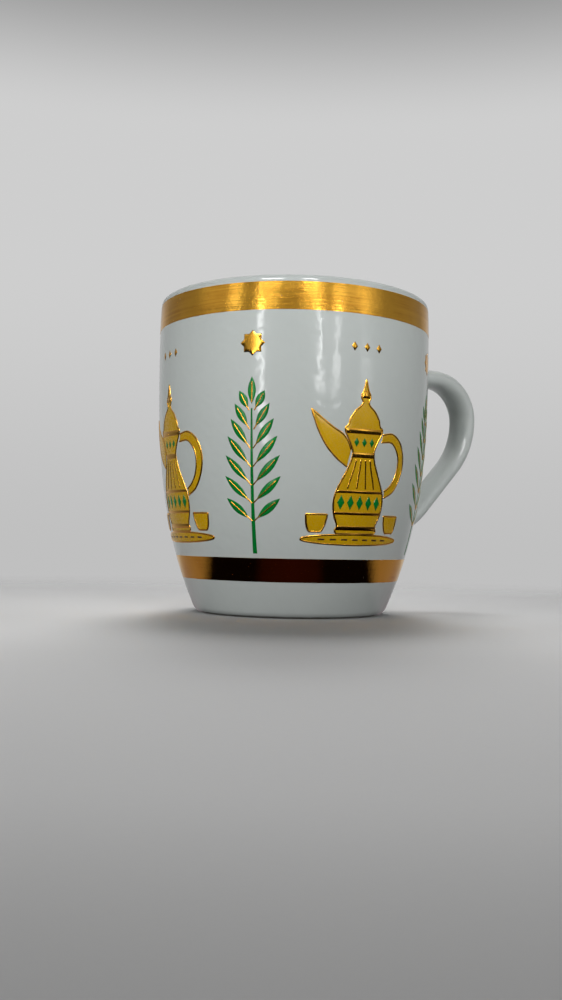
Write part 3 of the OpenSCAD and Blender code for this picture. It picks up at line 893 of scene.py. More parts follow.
class Flat:
    """A flat drawing of closed patches of enamel, each proud in its middle and sunk at its edge.

    Its outlines are cut into triangles in millimetres, with a ring of points inside each edge and a lattice.
    """

    outline_step = 0.5
    row_share = 0.87
    ring_share = 0.9
    lattice_share = 0.45
    inset_depth = 0.8
    edge_sink = 0.03 * MM
    back_sink = 0.08 * MM

    def __init__(self, build_up, under=0.0, edge=0.16 * MM, spacing=0.9 * MM):
        self.build_up = build_up
        self.under = under
        self.edge = edge / MM
        self.spacing = spacing / MM
        self.points = []
        self.faces = []
        self.inset = []
        self.stay = []

    def inner_points(self, loop):
        along = np.roll(loop, -1, axis=0) - np.roll(loop, 1, axis=0)
        square = np.stack([-along[:, 1], along[:, 0]], 1)
        square /= np.maximum(np.linalg.norm(square, axis=1, keepdims=True), 1e-9)
        ring = np.vstack([loop + square * self.edge, loop - square * self.edge])
        ring = ring[in_outline(ring, loop) & (edge_distance(ring, loop) > self.ring_share * self.edge)]
        low = loop.min(0)
        high = loop.max(0)
        lattice = np.array([(x + (0.5 * self.spacing if j % 2 else 0), y)
                            for j, y in enumerate(np.arange(low[1], high[1], self.spacing * self.row_share))
                            for x in np.arange(low[0], high[0], self.spacing)])
        clear = edge_distance(lattice, loop) > self.edge + self.lattice_share * self.spacing
        return np.vstack([ring, lattice[in_outline(lattice, loop) & clear]])

    def patch(self, outline, stay=False):
        loop = spaced(np.array(outline) / MM, self.outline_step)
        flat = [Vector(p) for p in np.vstack([loop, self.inner_points(loop)])]
        corners, _, faces, _, _, _ = delaunay_2d_cdt(flat, [], [list(range(len(loop)))], 1, 1e-5)
        corners = np.array(corners)
        depth = edge_distance(corners, loop)
        rise = np.clip(depth / self.edge, 0, 1)
        top = self.under + np.where(rise > 0, self.build_up * rise, 0) - self.edge_sink * (rise <= 0)
        first = len(self.points)
        count = len(corners)
        self.points += [(x * MM, y * MM, z) for (x, y), z in zip(corners, top)]
        self.points += [(x * MM, y * MM, -self.back_sink) for x, y in corners]
        self.inset += list(np.clip(depth / self.inset_depth, 0, 1)) * 2
        self.stay += [float(stay)] * (2 * count)
        sides = []
        for face in faces:
            a = [corners[i] for i in face]
            area = sum(p[0] * q[1] - p[1] * q[0] for p, q in zip(a, a[1:] + a[:1]))
            turned = list(face) if area > 0 else list(reversed(face))
            self.faces.append([first + i for i in turned])
            self.faces.append([first + count + i for i in reversed(turned)])
            sides += zip(turned, turned[1:] + turned[:1])
        shared = set(sides)
        self.faces += [[first + q, first + p, first + count + p, first + count + q]
                       for p, q in sides if (q, p) not in shared]

    def mesh(self, name):
        mesh = new_mesh(name, self.points, faces=self.faces)
        mark(mesh, "inset", self.inset)
        mark(mesh, "stay", self.stay)
        return mesh

    def piece(self, name):
        return new_object(name, self.mesh(name))


def joined_mesh(name, meshes):
    """One mesh made of several, with their inset and stay kept."""
    points = []
    faces = []
    unmarked = {"inset": 1.0, "stay": 0.0}
    marks = {title: [] for title in unmarked}
    for mesh in meshes:
        first = len(points)
        points += [tuple(v.co) for v in mesh.vertices]
        faces += [[first + i for i in p.vertices] for p in mesh.polygons]
        for title, values in marks.items():
            held = mesh.attributes.get(title)
            values += [d.value for d in held.data] if held else [unmarked[title]] * len(mesh.vertices)
    joined = new_mesh(name, points, faces=faces)
    for title, values in marks.items():
        mark(joined, title, values)
    return joined


def drawn_lines(lines, width, build_up, seed):
    """A flat mesh of gold lines."""
    pen = new_object("gold_pen", line_mesh("gold_pen", lines))
    add_tree(pen, gold_line_tree(), width=width, build_up=build_up, step=0.35 * MM, weight_wander=0.18,
             seed=seed)
    make_plain(pen)
    mesh = pen.data
    bpy.data.objects.remove(pen)
    return mesh


SPRIG_PLACE = 1
POT_PLACE = 2


def print_on_cup(piece, first_place, material, slot, *nodes):
    """Wraps a flat print on the wall, at every second place of the frieze, and hands it over."""
    frieze = settings().frieze
    pitch = math.tau / frieze.places
    add_tree(piece, frieze_tree(), cup=bpy.data.objects[CUP_NAME], first_angle=first_place * pitch,
             step_angle=2 * pitch, places=(frieze.places - first_place + 1) // 2, material=material)
    hand_over(make_plain(piece), slot, *nodes)


POT_SIDE = [
    (0.2, 0), (0.215, 0.02), (0.2, 0.05), (0.24, 0.12), (0.256, 0.19), (0.245, 0.26), (0.2, 0.34),
    (0.148, 0.42), (0.115, 0.49), (0.115, 0.54), (0.15, 0.6), (0.185, 0.645), (0.195, 0.68), (0.165, 0.7),
    (0.15, 0.74), (0.105, 0.79), (0.05, 0.825), (0.03, 0.85), (0.045, 0.875), (0.045, 0.9), (0.025, 0.925),
    (0.012, 0.96)]
POT_TIP = (0, 1)
SPOUT_UNDER = [(-0.16, 0.43), (-0.25, 0.475), (-0.35, 0.55), (-0.43, 0.65), (-0.5, 0.79)]
SPOUT_OVER = [(-0.5, 0.79), (-0.41, 0.735), (-0.31, 0.68), (-0.22, 0.64), (-0.165, 0.595), (-0.13, 0.54)]
GRIP_OUTSIDE = [(0.205, 0.65), (0.33, 0.66), (0.44, 0.605), (0.49, 0.5), (0.465, 0.385), (0.38, 0.285),
                (0.27, 0.24)]
GRIP_INSIDE = [(0.265, 0.28), (0.345, 0.325), (0.405, 0.4), (0.42, 0.495), (0.385, 0.56), (0.31, 0.605),
               (0.19, 0.6)]
SMALL_CUP_SIDE = [(0.045, 0.008), (0.06, 0.02), (0.08, 0.06), (0.092, 0.12)]
SMALL_CUP_PLACE = 0.39
TRAY_HALF = 0.5
TRAY_GAP = 0.1
GOLD_STRIPS = [(0.02, 0.05), (0.12, 0.14), (0.26, 0.28), (0.49, 0.525), (0.645, 0.68), (0.875, 0.925)]
BELLY_LOZENGES = [(i * 0.094, 0.2) for i in range(-2, 3)]
BELLY_LOZENGE = (0.035, 0.048)
COLLAR_LOZENGES = [(i * 0.08, 0.59) for i in range(-1, 2)]
COLLAR_LOZENGE = (0.026, 0.03)
FLUTES = [-0.6, -0.2, 0.2, 0.6]
FLUTE_HEIGHTS = np.linspace(0.29, 0.48, 12)
TRAY_DASHES = 7
DASH_ROW = 0.76
DASH_FILL = 0.55
DASH_HEIGHT = 0.16


def mirrored(side):
    return [(-x, y) for x, y in reversed(side)]


def pot_place(shares):
    """Shares of the pot's width and height as places on the flat wall."""
    frieze = settings().frieze
    return [(x * frieze.pot_width, frieze.pot_base + y * frieze.pot_height) for x, y in shares]


def pot_half(up):
    """Half width of the pot at a height, both as shares."""
    heights = [y for _, y in POT_SIDE]
    return float(np.interp(up, heights, [x for x, _ in POT_SIDE]))


def tray_middle():
    frieze = settings().frieze
    return frieze.pot_base - frieze.tray_height * (0.5 + TRAY_GAP)


def pot_outlines():
    """The drawn shapes of the pot, its spout and grip, the small cups and the tray."""
    frieze = settings().frieze
    side = [tuple(p) for p in smooth_run(pot_place(POT_SIDE), 4)]
    tip = pot_place([POT_TIP])
    spout = list(smooth_run(pot_place(SPOUT_UNDER))) + list(smooth_run(pot_place(SPOUT_OVER)))[1:]
    grip_outside = list(smooth_run(pot_place(GRIP_OUTSIDE)))
    grip_inside = list(smooth_run(pot_place(GRIP_INSIDE)))
    cup_side = [tuple(p) for p in smooth_run(pot_place(SMALL_CUP_SIDE), 4)]
    shift = SMALL_CUP_PLACE * frieze.pot_width
    cups = [[(x + way * shift, y) for x, y in cup_side + mirrored(cup_side)] for way in (-1, 1)]
    turns = [math.tau * k / 72 for k in range(72)]
    tray = [(frieze.pot_width * TRAY_HALF * math.cos(a),
             tray_middle() + frieze.tray_height / 2 * math.sin(a)) for a in turns]
    return {"pot": side + tip + mirrored(side), "spout": spout, "grip outside": grip_outside,
            "grip inside": grip_inside, "cups": cups, "tray": tray}


def lozenge(x, y, half_width, half_height):
    return [(x - half_width, y), (x, y - half_height), (x + half_width, y), (x, y + half_height)]


def node_sheet(owner):
    """An empty sheet on the nodes of a material or a world."""
    owner.use_nodes = True
    owner.node_tree.nodes.clear()
    return Sheet(owner.node_tree)


def principled(name, **constants):
    """A material with its Principled BSDF, the sheet that wires it and its Object coordinates."""
    material = bpy.data.materials.new(name)
    sheet = node_sheet(material)
    place = sheet.put("ShaderNodeTexCoord").outputs["Object"]
    shader = sheet.tree.nodes.new("ShaderNodeBsdfPrincipled")
    for title, value in constants.items():
        shader.inputs[title].default_value = value
    shader.location = (1800, 0)
    output = sheet.tree.nodes.new("ShaderNodeOutputMaterial")
    output.location = (2100, 0)
    sheet.tree.links.new(shader.outputs[0], output.inputs[0])
    return material, sheet, shader, place


def wire(sheet, shader, **sockets):
    """Links what changes over a surface to the shader's sockets."""
    for title, socket in sockets.items():
        sheet.tree.links.new(socket, shader.inputs[title.replace("_", " ").title()])


def use_group(sheet, tree, **values):
    """Places a shader group in a material with its own values."""
    titled = {title.replace("_", " ").capitalize(): value for title, value in values.items()}
    return sheet.put("ShaderNodeGroup", titled, node_tree=tree).outputs


def opaque(colour):
    return (*colour, 1.0)


def shaded(colour, share):
    return opaque([v * share for v in colour])


def fired_colour_group():
    """Colour that drifts as a fired glaze or enamel does, broad clouds and fine grain together."""
    tree, sheet, given = shader_tree("Fired colour", {
        "Vector": VECTOR, "Colour": COLOUR, "Shade": COLOUR, "Cloud scale": number(60.0),
        "Grain scale": number(1500.0), "Cloud": number(0.5), "Grain": number(0.3)},
        {"Colour": "NodeSocketColor", "Grain": "NodeSocketFloat"})
    if sheet is None:
        return tree
    cloud = sheet.fit(sheet.noise(given["Vector"], given["Cloud scale"], 3), *NOISE_RANGE)
    grain = sheet.fit(sheet.noise(given["Vector"], given["Grain scale"], 2), *NOISE_RANGE)
    share = sheet.plus(sheet.times(cloud, given["Cloud"]), sheet.times(grain, given["Grain"]))
    sheet.put("NodeGroupOutput", {"Colour": sheet.blend(share, given["Colour"], given["Shade"]),
                                  "Grain": grain})
    return tree


def glaze_skin_group():
    """Skin of a fired glaze: slow waves, a fine orange peel and a few pinholes, as one height in metres."""
    tree, sheet, given = shader_tree("Glaze skin", {
        "Vector": VECTOR, "Wave": number(0.00002), "Peel": number(0.000002), "Peel scale": number(900),
        "Pinholes": number(0.00003), "Pinhole share": number(0.05)},
        {"Height": "NodeSocketFloat", "Pinhole": "NodeSocketFloat"})
    if sheet is None:
        return tree
    wave = sheet.times(sheet.noise(given["Vector"], WAVE_SCALE, 1), given["Wave"])
    peel = sheet.times(sheet.noise(given["Vector"], given["Peel scale"], 1), given["Peel"])
    cells = sheet.put("ShaderNodeTexVoronoi", {"Vector": given["Vector"], "Scale": PINHOLE_SCALE})
    rare = sheet.math("LESS_THAN", sheet.separate(cells.outputs["Color"])[0], given["Pinhole share"])
    hole = sheet.ease(cells.outputs["Distance"], 0.1, 0.05)
    pinhole = sheet.times(hole, rare)
    sunk = sheet.times(pinhole, given["Pinholes"])
    height = sheet.minus(sheet.plus(wave, peel), sunk)
    sheet.put("NodeGroupOutput", {"Height": height, "Pinhole": pinhole})
    return tree


def burnished_gold_group():
    """Gold laid with a brush as the cup turns and rubbed bright: streaks, thin places and worn specks."""
    tree, sheet, given = shader_tree("Burnished gold", {
        "Vector": VECTOR, "Gold": COLOUR, "Shade": COLOUR, "Bare": COLOUR, "Streaks": number(0.5),
        "Wear": number(0.3), "Dull": number(0.3), "Bright": number(0.16), "Relief": number(1.0)},
        {"Colour": "NodeSocketColor", "Metal": "NodeSocketFloat", "Roughness": "NodeSocketFloat",
         "Height": "NodeSocketFloat"})
    if sheet is None:
        return tree
    long_way = sheet.vector("MULTIPLY", given["Vector"], (30, 30, 1600))
    streak = sheet.fit(sheet.noise(long_way, 1, 3, 0.6), *NOISE_RANGE)
    hammered = sheet.fit(sheet.noise(given["Vector"], 700, 2), *NOISE_RANGE)
    patch = sheet.fit(sheet.noise(given["Vector"], 110, 2), 0.35, 0.65)
    thin = sheet.times(streak, patch, given["Streaks"])
    specks = sheet.noise(given["Vector"], 2600, 1)
    limit = sheet.minus(0.84, sheet.times(given["Wear"], 0.2))
    worn = sheet.times(sheet.math("GREATER_THAN", specks, limit), sheet.math("GREATER_THAN", patch, 0.4))
    gold = sheet.blend(thin, given["Gold"], given["Shade"])
    dull = sheet.plus(sheet.times(streak, 0.6), sheet.times(hammered, 0.4))
    relief = sheet.plus(sheet.times(streak, 0.000004), sheet.times(hammered, 0.000005))
    height = sheet.times(relief, given["Relief"])
    sheet.put("NodeGroupOutput", {
        "Colour": sheet.blend(worn, gold, given["Bare"]), "Metal": sheet.minus(1, worn),
        "Roughness": sheet.fit(dull, 0, 1, given["Bright"], given["Dull"]), "Height": height})
    return tree


GLAZE_IOR = 1.5


def bump(sheet, height):
    """The normal of a surface with a height in metres."""
    return sheet.put("ShaderNodeBump", {"Height": height, "Strength": 1.0, "Distance": 1.0}).outputs[0]


def once(build):
    """Makes a material the first time that it is asked for."""
    def find():
        name = build.__name__.replace("_", " ").capitalize()
        return bpy.data.materials.get(name) or build(name)
    return find


@once
def glazed_porcelain(name):
    finish = settings().finish
    material, sheet, shader, place = principled(name, IOR=GLAZE_IOR)
    body = use_group(sheet, fired_colour_group(), vector=place, colour=opaque(finish.porcelain),
                     shade=shaded(finish.porcelain, 0.93), cloud_scale=35.0, grain_scale=420.0, cloud=0.5,
                     grain=0.15)
    skin = use_group(sheet, glaze_skin_group(), vector=place, wave=0.00006, peel=0.00011, peel_scale=310.0,
                     pinholes=0.00002, pinhole_share=0.012)
    height = sheet.separate(place)[2]
    ragged = sheet.times(sheet.minus(sheet.noise(place, 260, 3), 0.5), 0.0003)
    edge = sheet.plus(height, ragged)
    foot = sheet.fit(edge, 0.0003, 0.00015)
    # Painted shade: a dark line low on the foot, partly where the glaze ends and partly painted contact
    # shade where the cup meets the table.
    line = sheet.times(sheet.ease(edge, 0.0001, 0.0003), sheet.ease(edge, 0.0007, 0.0003))
    biscuit = use_group(sheet, fired_colour_group(), vector=place, colour=opaque(finish.biscuit),
                        shade=shaded(finish.biscuit, 0.7), cloud_scale=160.0, grain_scale=2400.0, cloud=0.4,
                        grain=0.5)
    pinned = sheet.blend(sheet.times(skin["Pinhole"], 0.35), body["Colour"], opaque(finish.grime))
    lined = sheet.blend(sheet.times(line, 0.75), pinned, opaque(finish.grime))
    colour = sheet.blend(foot, lined, biscuit["Colour"])
    gloss = sheet.fit(body["Grain"], 0, 1, 0.05, 0.09)
    rough = sheet.plus(gloss, sheet.times(foot, 0.62))
    tooth = sheet.times(biscuit["Grain"], foot, 0.00002)
    wire(sheet, shader, base_color=colour, roughness=rough,
         normal=bump(sheet, sheet.plus(skin["Height"], tooth)))
    return material


def plain_glaze(name, colour, shade, fired, skin, grime, rough):
    """A glaze of one colour with dirt in its pinholes."""
    material, sheet, shader, place = principled(name, IOR=GLAZE_IOR)
    body = use_group(sheet, fired_colour_group(), vector=place, colour=opaque(colour),
                     shade=shaded(colour, shade), **fired)
    skin = use_group(sheet, glaze_skin_group(), vector=place, **skin)
    pinned = sheet.blend(sheet.times(skin["Pinhole"], grime), body["Colour"],
                         opaque(settings().finish.grime))
    wire(sheet, shader, base_color=pinned, roughness=sheet.fit(body["Grain"], 0, 1, *rough),
         normal=bump(sheet, skin["Height"]))
    return material


@once
def glazed_handle(name):
    return plain_glaze(
        name, settings().finish.porcelain, shade=0.92, grime=0.3, rough=(0.06, 0.11),
        fired={"cloud_scale": 55.0, "grain_scale": 420.0, "cloud": 0.5, "grain": 0.15},
        skin={"wave": 0.00012, "peel": 0.00016, "peel_scale": 310.0, "pinholes": 0.00006,
              "pinhole_share": 0.1})


@once
def pooled_slip(name):
    return plain_glaze(
        name, settings().finish.slip, shade=0.82, grime=0.4, rough=(0.08, 0.16),
        fired={"cloud_scale": 180.0, "grain_scale": 900.0, "cloud": 0.6, "grain": 0.2},
        skin={"wave": 0.00012, "peel": 0.000004, "pinholes": 0.00004, "pinhole_share": 0.1})


def gold_material(name, **finishing):
    """Gold on the glaze, with the porcelain showing where it is worn."""
    finish = settings().finish
    material, sheet, shader, place = principled(name)
    gold = use_group(sheet, burnished_gold_group(), vector=place, gold=opaque(finish.gold),
                     shade=opaque(finish.gold_shade), bare=opaque(finish.porcelain), **finishing)
    wire(sheet, shader, base_color=gold["Colour"], metallic=gold["Metal"], roughness=gold["Roughness"],
         normal=bump(sheet, gold["Height"]))
    return material


@once
def band_gold(name):
    return gold_material(name, streaks=0.6, wear=0.05, dull=0.16, bright=0.06, relief=2.2)


@once
def drawn_gold(name):
    return gold_material(name, streaks=0.2, wear=0.0, dull=0.22, bright=0.12, relief=0.1)


def enamel_material(name, colour, shade, cloud, grain, rough):
    """Enamel printed on the glaze. It is darker along its edges, where it drew together in the fire."""
    material, sheet, shader, place = principled(name, IOR=GLAZE_IOR)
    body = use_group(sheet, fired_colour_group(), vector=place, colour=opaque(colour), shade=opaque(shade),
                     cloud_scale=150.0, grain_scale=2600.0, cloud=cloud, grain=grain)
    skin = use_group(sheet, glaze_skin_group(), vector=place, wave=0.00004, peel=0.000008, pinholes=0.00003,
                     pinhole_share=0.08)
    inset = sheet.put("ShaderNodeAttribute", attribute_name="inset").outputs["Fac"]
    edge = sheet.ease(inset, 0.0, 0.55, 0.4, 0.0)
    wire(sheet, shader, base_color=sheet.blend(edge, body["Colour"], opaque(shade)),
         roughness=sheet.fit(body["Grain"], 0, 1, rough, rough + 0.14),
         normal=bump(sheet, skin["Height"]))
    return material


@once
def ochre_enamel(name):
    finish = settings().finish
    return enamel_material(name, finish.ochre, finish.ochre_shade, 0.45, 0.4, 0.2)


@once
def green_enamel(name):
    finish = settings().finish
    return enamel_material(name, finish.green, finish.green_shade, 0.5, 0.35, 0.16)


@once
def umber_enamel(name):
    finish = settings().finish
    return enamel_material(name, finish.umber, [v * 0.5 for v in finish.umber], 0.5, 0.3, 0.25)


class CupOperator(bpy.types.Operator):
    """Base of the operators that make the pieces of the cup."""

    bl_options = {"REGISTER"}

    def execute(self, context):
        self.make()
        return {"FINISHED"}


class COFFEECUP_OT_body(CupOperator):
    """Turns the porcelain body."""

    bl_idname = "coffee_cup.body"
    bl_label = "Cup Body"

    def make(self):
        cup = turned_piece(CUP_NAME, cup_profile(), closed=False, material=glazed_porcelain())
        turn_outward(cup.data)
        hand_over(cup, "porcelain", "cup_body")


class COFFEECUP_OT_handle(CupOperator):
    """Sweeps the ear handle and wipes the slip around both of its ends."""

    bl_idname = "coffee_cup.handle"
    bl_label = "Handle"

    def make(self):
        handle = handle_piece(glazed_handle())
        turn_outward(handle.data)
        hand_over(handle, "porcelain", "handle")
        path = EarPath()
        upper = slip_piece("upper_slip", path, 0.0, 6 * MM, pooled_slip(), seed=0.4)
        lower = slip_piece("lower_slip", path, path.length, -9 * MM, pooled_slip(), seed=2.1)
        hand_over(upper, "luting_slip", "upper_slip_joint")
        hand_over(lower, "luting_slip", "lower_slip_joint")


class COFFEECUP_OT_bands(CupOperator):
    """Lays the two gold bands."""

    bl_idname = "coffee_cup.bands"
    bl_label = "Gold Bands"

    ledge_rise = 0.7

    def make(self):
        bands = settings().bands
        for name, low, high, node, seed in (
                ("rim_gold", bands.rim_low, bands.rim_high, "rim_gold_band", 1.7),
                ("base_gold", bands.base_low, bands.base_high, "base_gold_band", 4.3)):
            profile = band_profile(low, high, bands.build_up)
            band = turned_piece(name, profile, closed=True, material=band_gold(), wander=bands.wander,
                                seed=seed)
            turn_outward(band.data)
            ledges = [face for face in band.data.polygons if abs(face.normal.z) > self.ledge_rise]
            crisp = {key for face in ledges for key in face.edge_keys}
            for edge in band.data.edges:
                edge.use_edge_sharp = edge.key in crisp
            hand_over(band, "burnished_gold", node)


class COFFEECUP_OT_pots(CupOperator):
    """Prints the coffee pots with their trays and small cups."""

    bl_idname = "coffee_cup.pots"
    bl_label = "Coffee Pots"

    def make(self):
        frieze = settings().frieze
        shapes = pot_outlines()
        ochre = Flat(frieze.build_up)
        for outline in (shapes["pot"], shapes["spout"], shapes["grip outside"] + shapes["grip inside"],
                        *shapes["cups"], shapes["tray"]):
            ochre.patch(outline)
        print_on_cup(ochre.piece("pot_ochre"), POT_PLACE, ochre_enamel(), "ochre_enamel", "pot_ochre_print")

        strips = Flat(frieze.build_up, frieze.build_up, edge=0.12 * MM)
        for low, high in GOLD_STRIPS:
            strips.patch(pot_place([(-pot_half(low), low), (pot_half(low), low), (pot_half(high), high),
                                    (-pot_half(high), high)]))
        lines = [(shapes["pot"], True), (shapes["spout"], False), (shapes["grip outside"], False),
                 (shapes["grip inside"], False), (shapes["tray"], True)]
        lines += [(outline, True) for outline in shapes["cups"]]
        lines += [(pot_place([(share * pot_half(h), h) for h in FLUTE_HEIGHTS]), False) for share in FLUTES]
        drawn = drawn_lines(lines, frieze.line_width, frieze.line_build_up, seed=3.1)
        gold = new_object("pot_gold", joined_mesh("pot_gold", [strips.mesh("pot_strips"), drawn]))
        print_on_cup(gold, POT_PLACE, drawn_gold(), "burnished_gold", "pot_gold_print")

        green = Flat(frieze.build_up, frieze.build_up, edge=0.12 * MM, spacing=0.7 * MM)
        for middles, half in ((BELLY_LOZENGES, BELLY_LOZENGE), (COLLAR_LOZENGES, COLLAR_LOZENGE)):
            for middle in middles:
                green.patch(pot_place(lozenge(*middle, *half)))
        print_on_cup(green.piece("pot_green"), POT_PLACE, green_enamel(), "green_enamel", "pot_green_print")

        umber = Flat(frieze.build_up, frieze.build_up, edge=0.1 * MM, spacing=0.6 * MM)
        step = frieze.pot_width * DASH_ROW / TRAY_DASHES
        w = step * DASH_FILL / 2
        h = frieze.tray_height * DASH_HEIGHT / 2
        y = tray_middle()
        for i in range(TRAY_DASHES):
            x = (i - (TRAY_DASHES - 1) / 2) * step
            umber.patch([(x - w, y - h), (x + w, y - h), (x + w, y + h), (x - w, y + h)])
        print_on_cup(umber.piece("tray_umber"), POT_PLACE, umber_enamel(), "umber_enamel",
                     "tray_umber_print")


class COFFEECUP_OT_sprigs(CupOperator):
    """Prints the leaf sprigs with their gold veins."""

    bl_idname = "coffee_cup.sprigs"
    bl_label = "Leaf Sprigs"

    foot_share = 0.2
    tip_share = 0.82
    stem_tip_share = 0.4
    gap_share = 0.9
    first_lean = math.radians(50)
    last_lean = math.radians(28)
    longest_at = 0.35
    least_share = 0.55
    vein_width = 0.32 * MM
    vein_build_up = 0.12 * MM
    vein_shares = np.linspace(-0.13, 0.8, 14)
    tip_vein_shares = np.linspace(0.06, 0.8, 12)

    def make(self):
        frieze = settings().frieze
        gap = frieze.stem_width * self.gap_share
        half = frieze.stem_width / 2
        top = frieze.sprig_base + frieze.sprig_height * self.tip_share
        tip_length = frieze.sprig_height * (1 - self.tip_share) - gap
        tip_foot = frieze.sprig_base + frieze.sprig_height - tip_length
        green = Flat(frieze.build_up, edge=0.14 * MM, spacing=0.7 * MM)
        green.patch(self.leaf(frieze.leaf_length))
        green.patch([(-half, frieze.sprig_base), (half, frieze.sprig_base),
                     (half * self.stem_tip_share, top), (-half * self.stem_tip_share, top)], stay=True)
        green.patch([(x, y + tip_foot) for x, y in self.leaf(tip_length)], stay=True)
        sprig = green.piece("leaf_sprigs")
        self.grow(sprig, gap)
        print_on_cup(sprig, SPRIG_PLACE, green_enamel(), "green_enamel", "sprig_green_print")

        vein = [(0.0, frieze.leaf_length * t) for t in self.vein_shares]
        tip_vein = [(0.0, tip_foot + tip_length * t) for t in self.tip_vein_shares]
        drawn = drawn_lines([(vein, False), (tip_vein, False)], self.vein_width, self.vein_build_up,
                            seed=5.7)
        mark(drawn, "stay", [float(point.co.y > frieze.sprig_base) for point in drawn.vertices])
        veins = new_object("leaf_veins", drawn)
        self.grow(veins, gap)
        print_on_cup(veins, SPRIG_PLACE, drawn_gold(), "burnished_gold")

    def grow(self, piece, gap):
        frieze = settings().frieze
        add_tree(piece, leaf_sprig_tree(), pairs=frieze.leaf_pairs,
                 first=frieze.sprig_base + frieze.sprig_height * self.foot_share,
                 last=frieze.sprig_base + frieze.sprig_height * self.tip_share,
                 first_lean=self.first_lean, last_lean=self.last_lean, gap=gap, peak=self.longest_at,
                 least=self.least_share)
        make_plain(piece)

    @staticmethod
    def leaf(length):
        half = settings().frieze.leaf_width / 2
        shares = np.linspace(0, 1, 19)
        right = [(half * math.sin(math.pi * t), length * t) for t in shares]
        return right + [(-x, y) for x, y in reversed(right[1:-1])]


class COFFEECUP_OT_stars(CupOperator):
    """Prints the gold stars over the sprigs and the lozenges over the pots."""

    bl_idname = "coffee_cup.stars"
    bl_label = "Stars and Lozenges"

    points = 8
    notch_share = 0.765
    sparks = 3
    spark_width = 0.7
    spark_pitch = 1.5

    def make(self):
        frieze = settings().frieze
        star = Flat(frieze.build_up, edge=0.12 * MM, spacing=0.8 * MM)
        outline = []
        for k in range(2 * self.points):
            angle = math.pi * k / self.points
            reach = frieze.star_width / 2 * (self.notch_share if k % 2 else 1)
            outline.append((reach * math.sin(angle), frieze.star_height + reach * math.cos(angle)))
        star.patch(outline)
        print_on_cup(star.piece("gold_stars"), SPRIG_PLACE, drawn_gold(), "burnished_gold",
                     "star_gold_print")

        row = Flat(frieze.build_up, edge=0.1 * MM, spacing=0.7 * MM)
        w = frieze.spark_height * self.spark_width / 2
        h = frieze.spark_height / 2
        for i in range(self.sparks):
            x = (i - (self.sparks - 1) / 2) * frieze.spark_height * self.spark_pitch
            row.patch(lozenge(x, frieze.star_height, w, h))
        print_on_cup(row.piece("gold_lozenges"), POT_PLACE, drawn_gold(), "burnished_gold",
                     "star_gold_print")


def soft_light(name, place, aim_height, size, power, spread):
    """A soft panel aimed at the axis. The gloss sees the cards in its stead."""
    lamp = bpy.data.lights.new(name, "AREA")
    lamp.shape = "RECTANGLE"
    lamp.size, lamp.size_y = size
    lamp.energy = power
    lamp.spread = math.radians(spread)
    light = new_object(name, lamp)
    light.location = place
    light.visible_camera = False
    light.visible_glossy = False
    way = Vector((0, 0, aim_height)) - light.location
    light.rotation_euler = way.to_track_quat("-Z", "Y").to_euler()


def around(angle, distance, height):
    """A place around the cup, its angle measured from the camera's side."""
    stage = settings().stage
    facing = math.atan2(stage.camera_place[1], stage.camera_place[0]) + math.radians(angle)
    return (distance * math.cos(facing), distance * math.sin(facing), height)


FLOOR_CENTRE = 0.18
# How much faster the painted contact shadow on the floor fades sideways than forwards.
OVAL = 4.0


def floor_material():
    """Pale floor with painted shade, darker close to the cup and far in front, that fades into the backdrop
    all round.
    """
    material = bpy.data.materials.new("Pale floor")
    sheet = node_sheet(material)
    place = sheet.put("ShaderNodeTexCoord").outputs["Object"]
    away = sheet.measure("LENGTH", sheet.vector("SUBTRACT", place, around(0, FLOOR_CENTRE, 0.0)))
    near, aside = (sheet.measure("DOT_PRODUCT", place, around(angle, 1, 0)) for angle in (0, 90))
    reach = sheet.measure("LENGTH", sheet.combine(near, sheet.times(aside, OVAL), 0.0))
    grain = sheet.fit(sheet.noise(place, 900, 2), *NOISE_RANGE, 0.994, 1.0)
    # Painted shade in the floor's colour: a band across the cup's place, darker far in front, and a painted
    # contact shadow in an oval around the cup.
    beside = sheet.math("MAXIMUM", sheet.ease(near, 0.03, 0.1, 0.87, 1.0),
                        sheet.ease(near, -0.2, -0.09, 0.98, 0.87))
    front = sheet.ease(near, 0.2, 0.25, 1.0, 0.74)
    close = sheet.ease(reach, 0.03, 0.16, 0.7, 1.0)
    colour = sheet.scaled(settings().stage.floor, sheet.times(grain, sheet.times(beside, front, close)))
    shade = sheet.put("ShaderNodeBsdfDiffuse", {"Color": colour})
    clear = sheet.put("ShaderNodeBsdfTransparent")
    fade = sheet.math("MAXIMUM", sheet.ease(near, 0.245, 0.36),
                      sheet.ease(sheet.math("ABSOLUTE", aside), 0.13, 0.28))
    fade = sheet.math("MAXIMUM", fade, sheet.ease(away, 0.18, 0.44))
    mixed = sheet.put("ShaderNodeMixShader", {0: fade, 1: shade.outputs[0], 2: clear.outputs[0]})
    sheet.put("ShaderNodeOutputMaterial", {"Surface": mixed.outputs[0]})
    return material


def card_material():
    """Studio card that only the gloss sees. Its points carry its tone, and it is soft at its edges."""
    material = bpy.data.materials.new("Studio card")
    material.cycles.emission_sampling = "NONE"
    sheet = node_sheet(material)
    soft = sheet.put("ShaderNodeAttribute", attribute_name="soft").outputs["Fac"]
    tone = sheet.put("ShaderNodeAttribute", attribute_name="tone").outputs["Color"]
    card = sheet.put("ShaderNodeEmission", {"Color": tone, "Strength": 1.0})
    clear = sheet.put("ShaderNodeBsdfTransparent")
    mixed = sheet.put("ShaderNodeMixShader", {0: soft, 1: clear.outputs[0], 2: card.outputs[0]})
    sheet.put("ShaderNodeOutputMaterial", {"Surface": mixed.outputs[0]})
    return material


def stage_piece(name, angles, rows, material):
    """A sheet around the axis. Angles are from the camera's side, and a row is a radius and a height."""
    points = [around(a, r, z) for r, z in rows for a in angles]
    size = len(angles)
    faces = [(i * size + k, (i + 1) * size + k, (i + 1) * size + k + 1, i * size + k + 1)
             for i in range(len(rows) - 1) for k in range(size - 1)]
    mesh = new_mesh(name, points, faces=faces)
    mesh.materials.append(material)
    piece = new_object(name, mesh)
    return piece


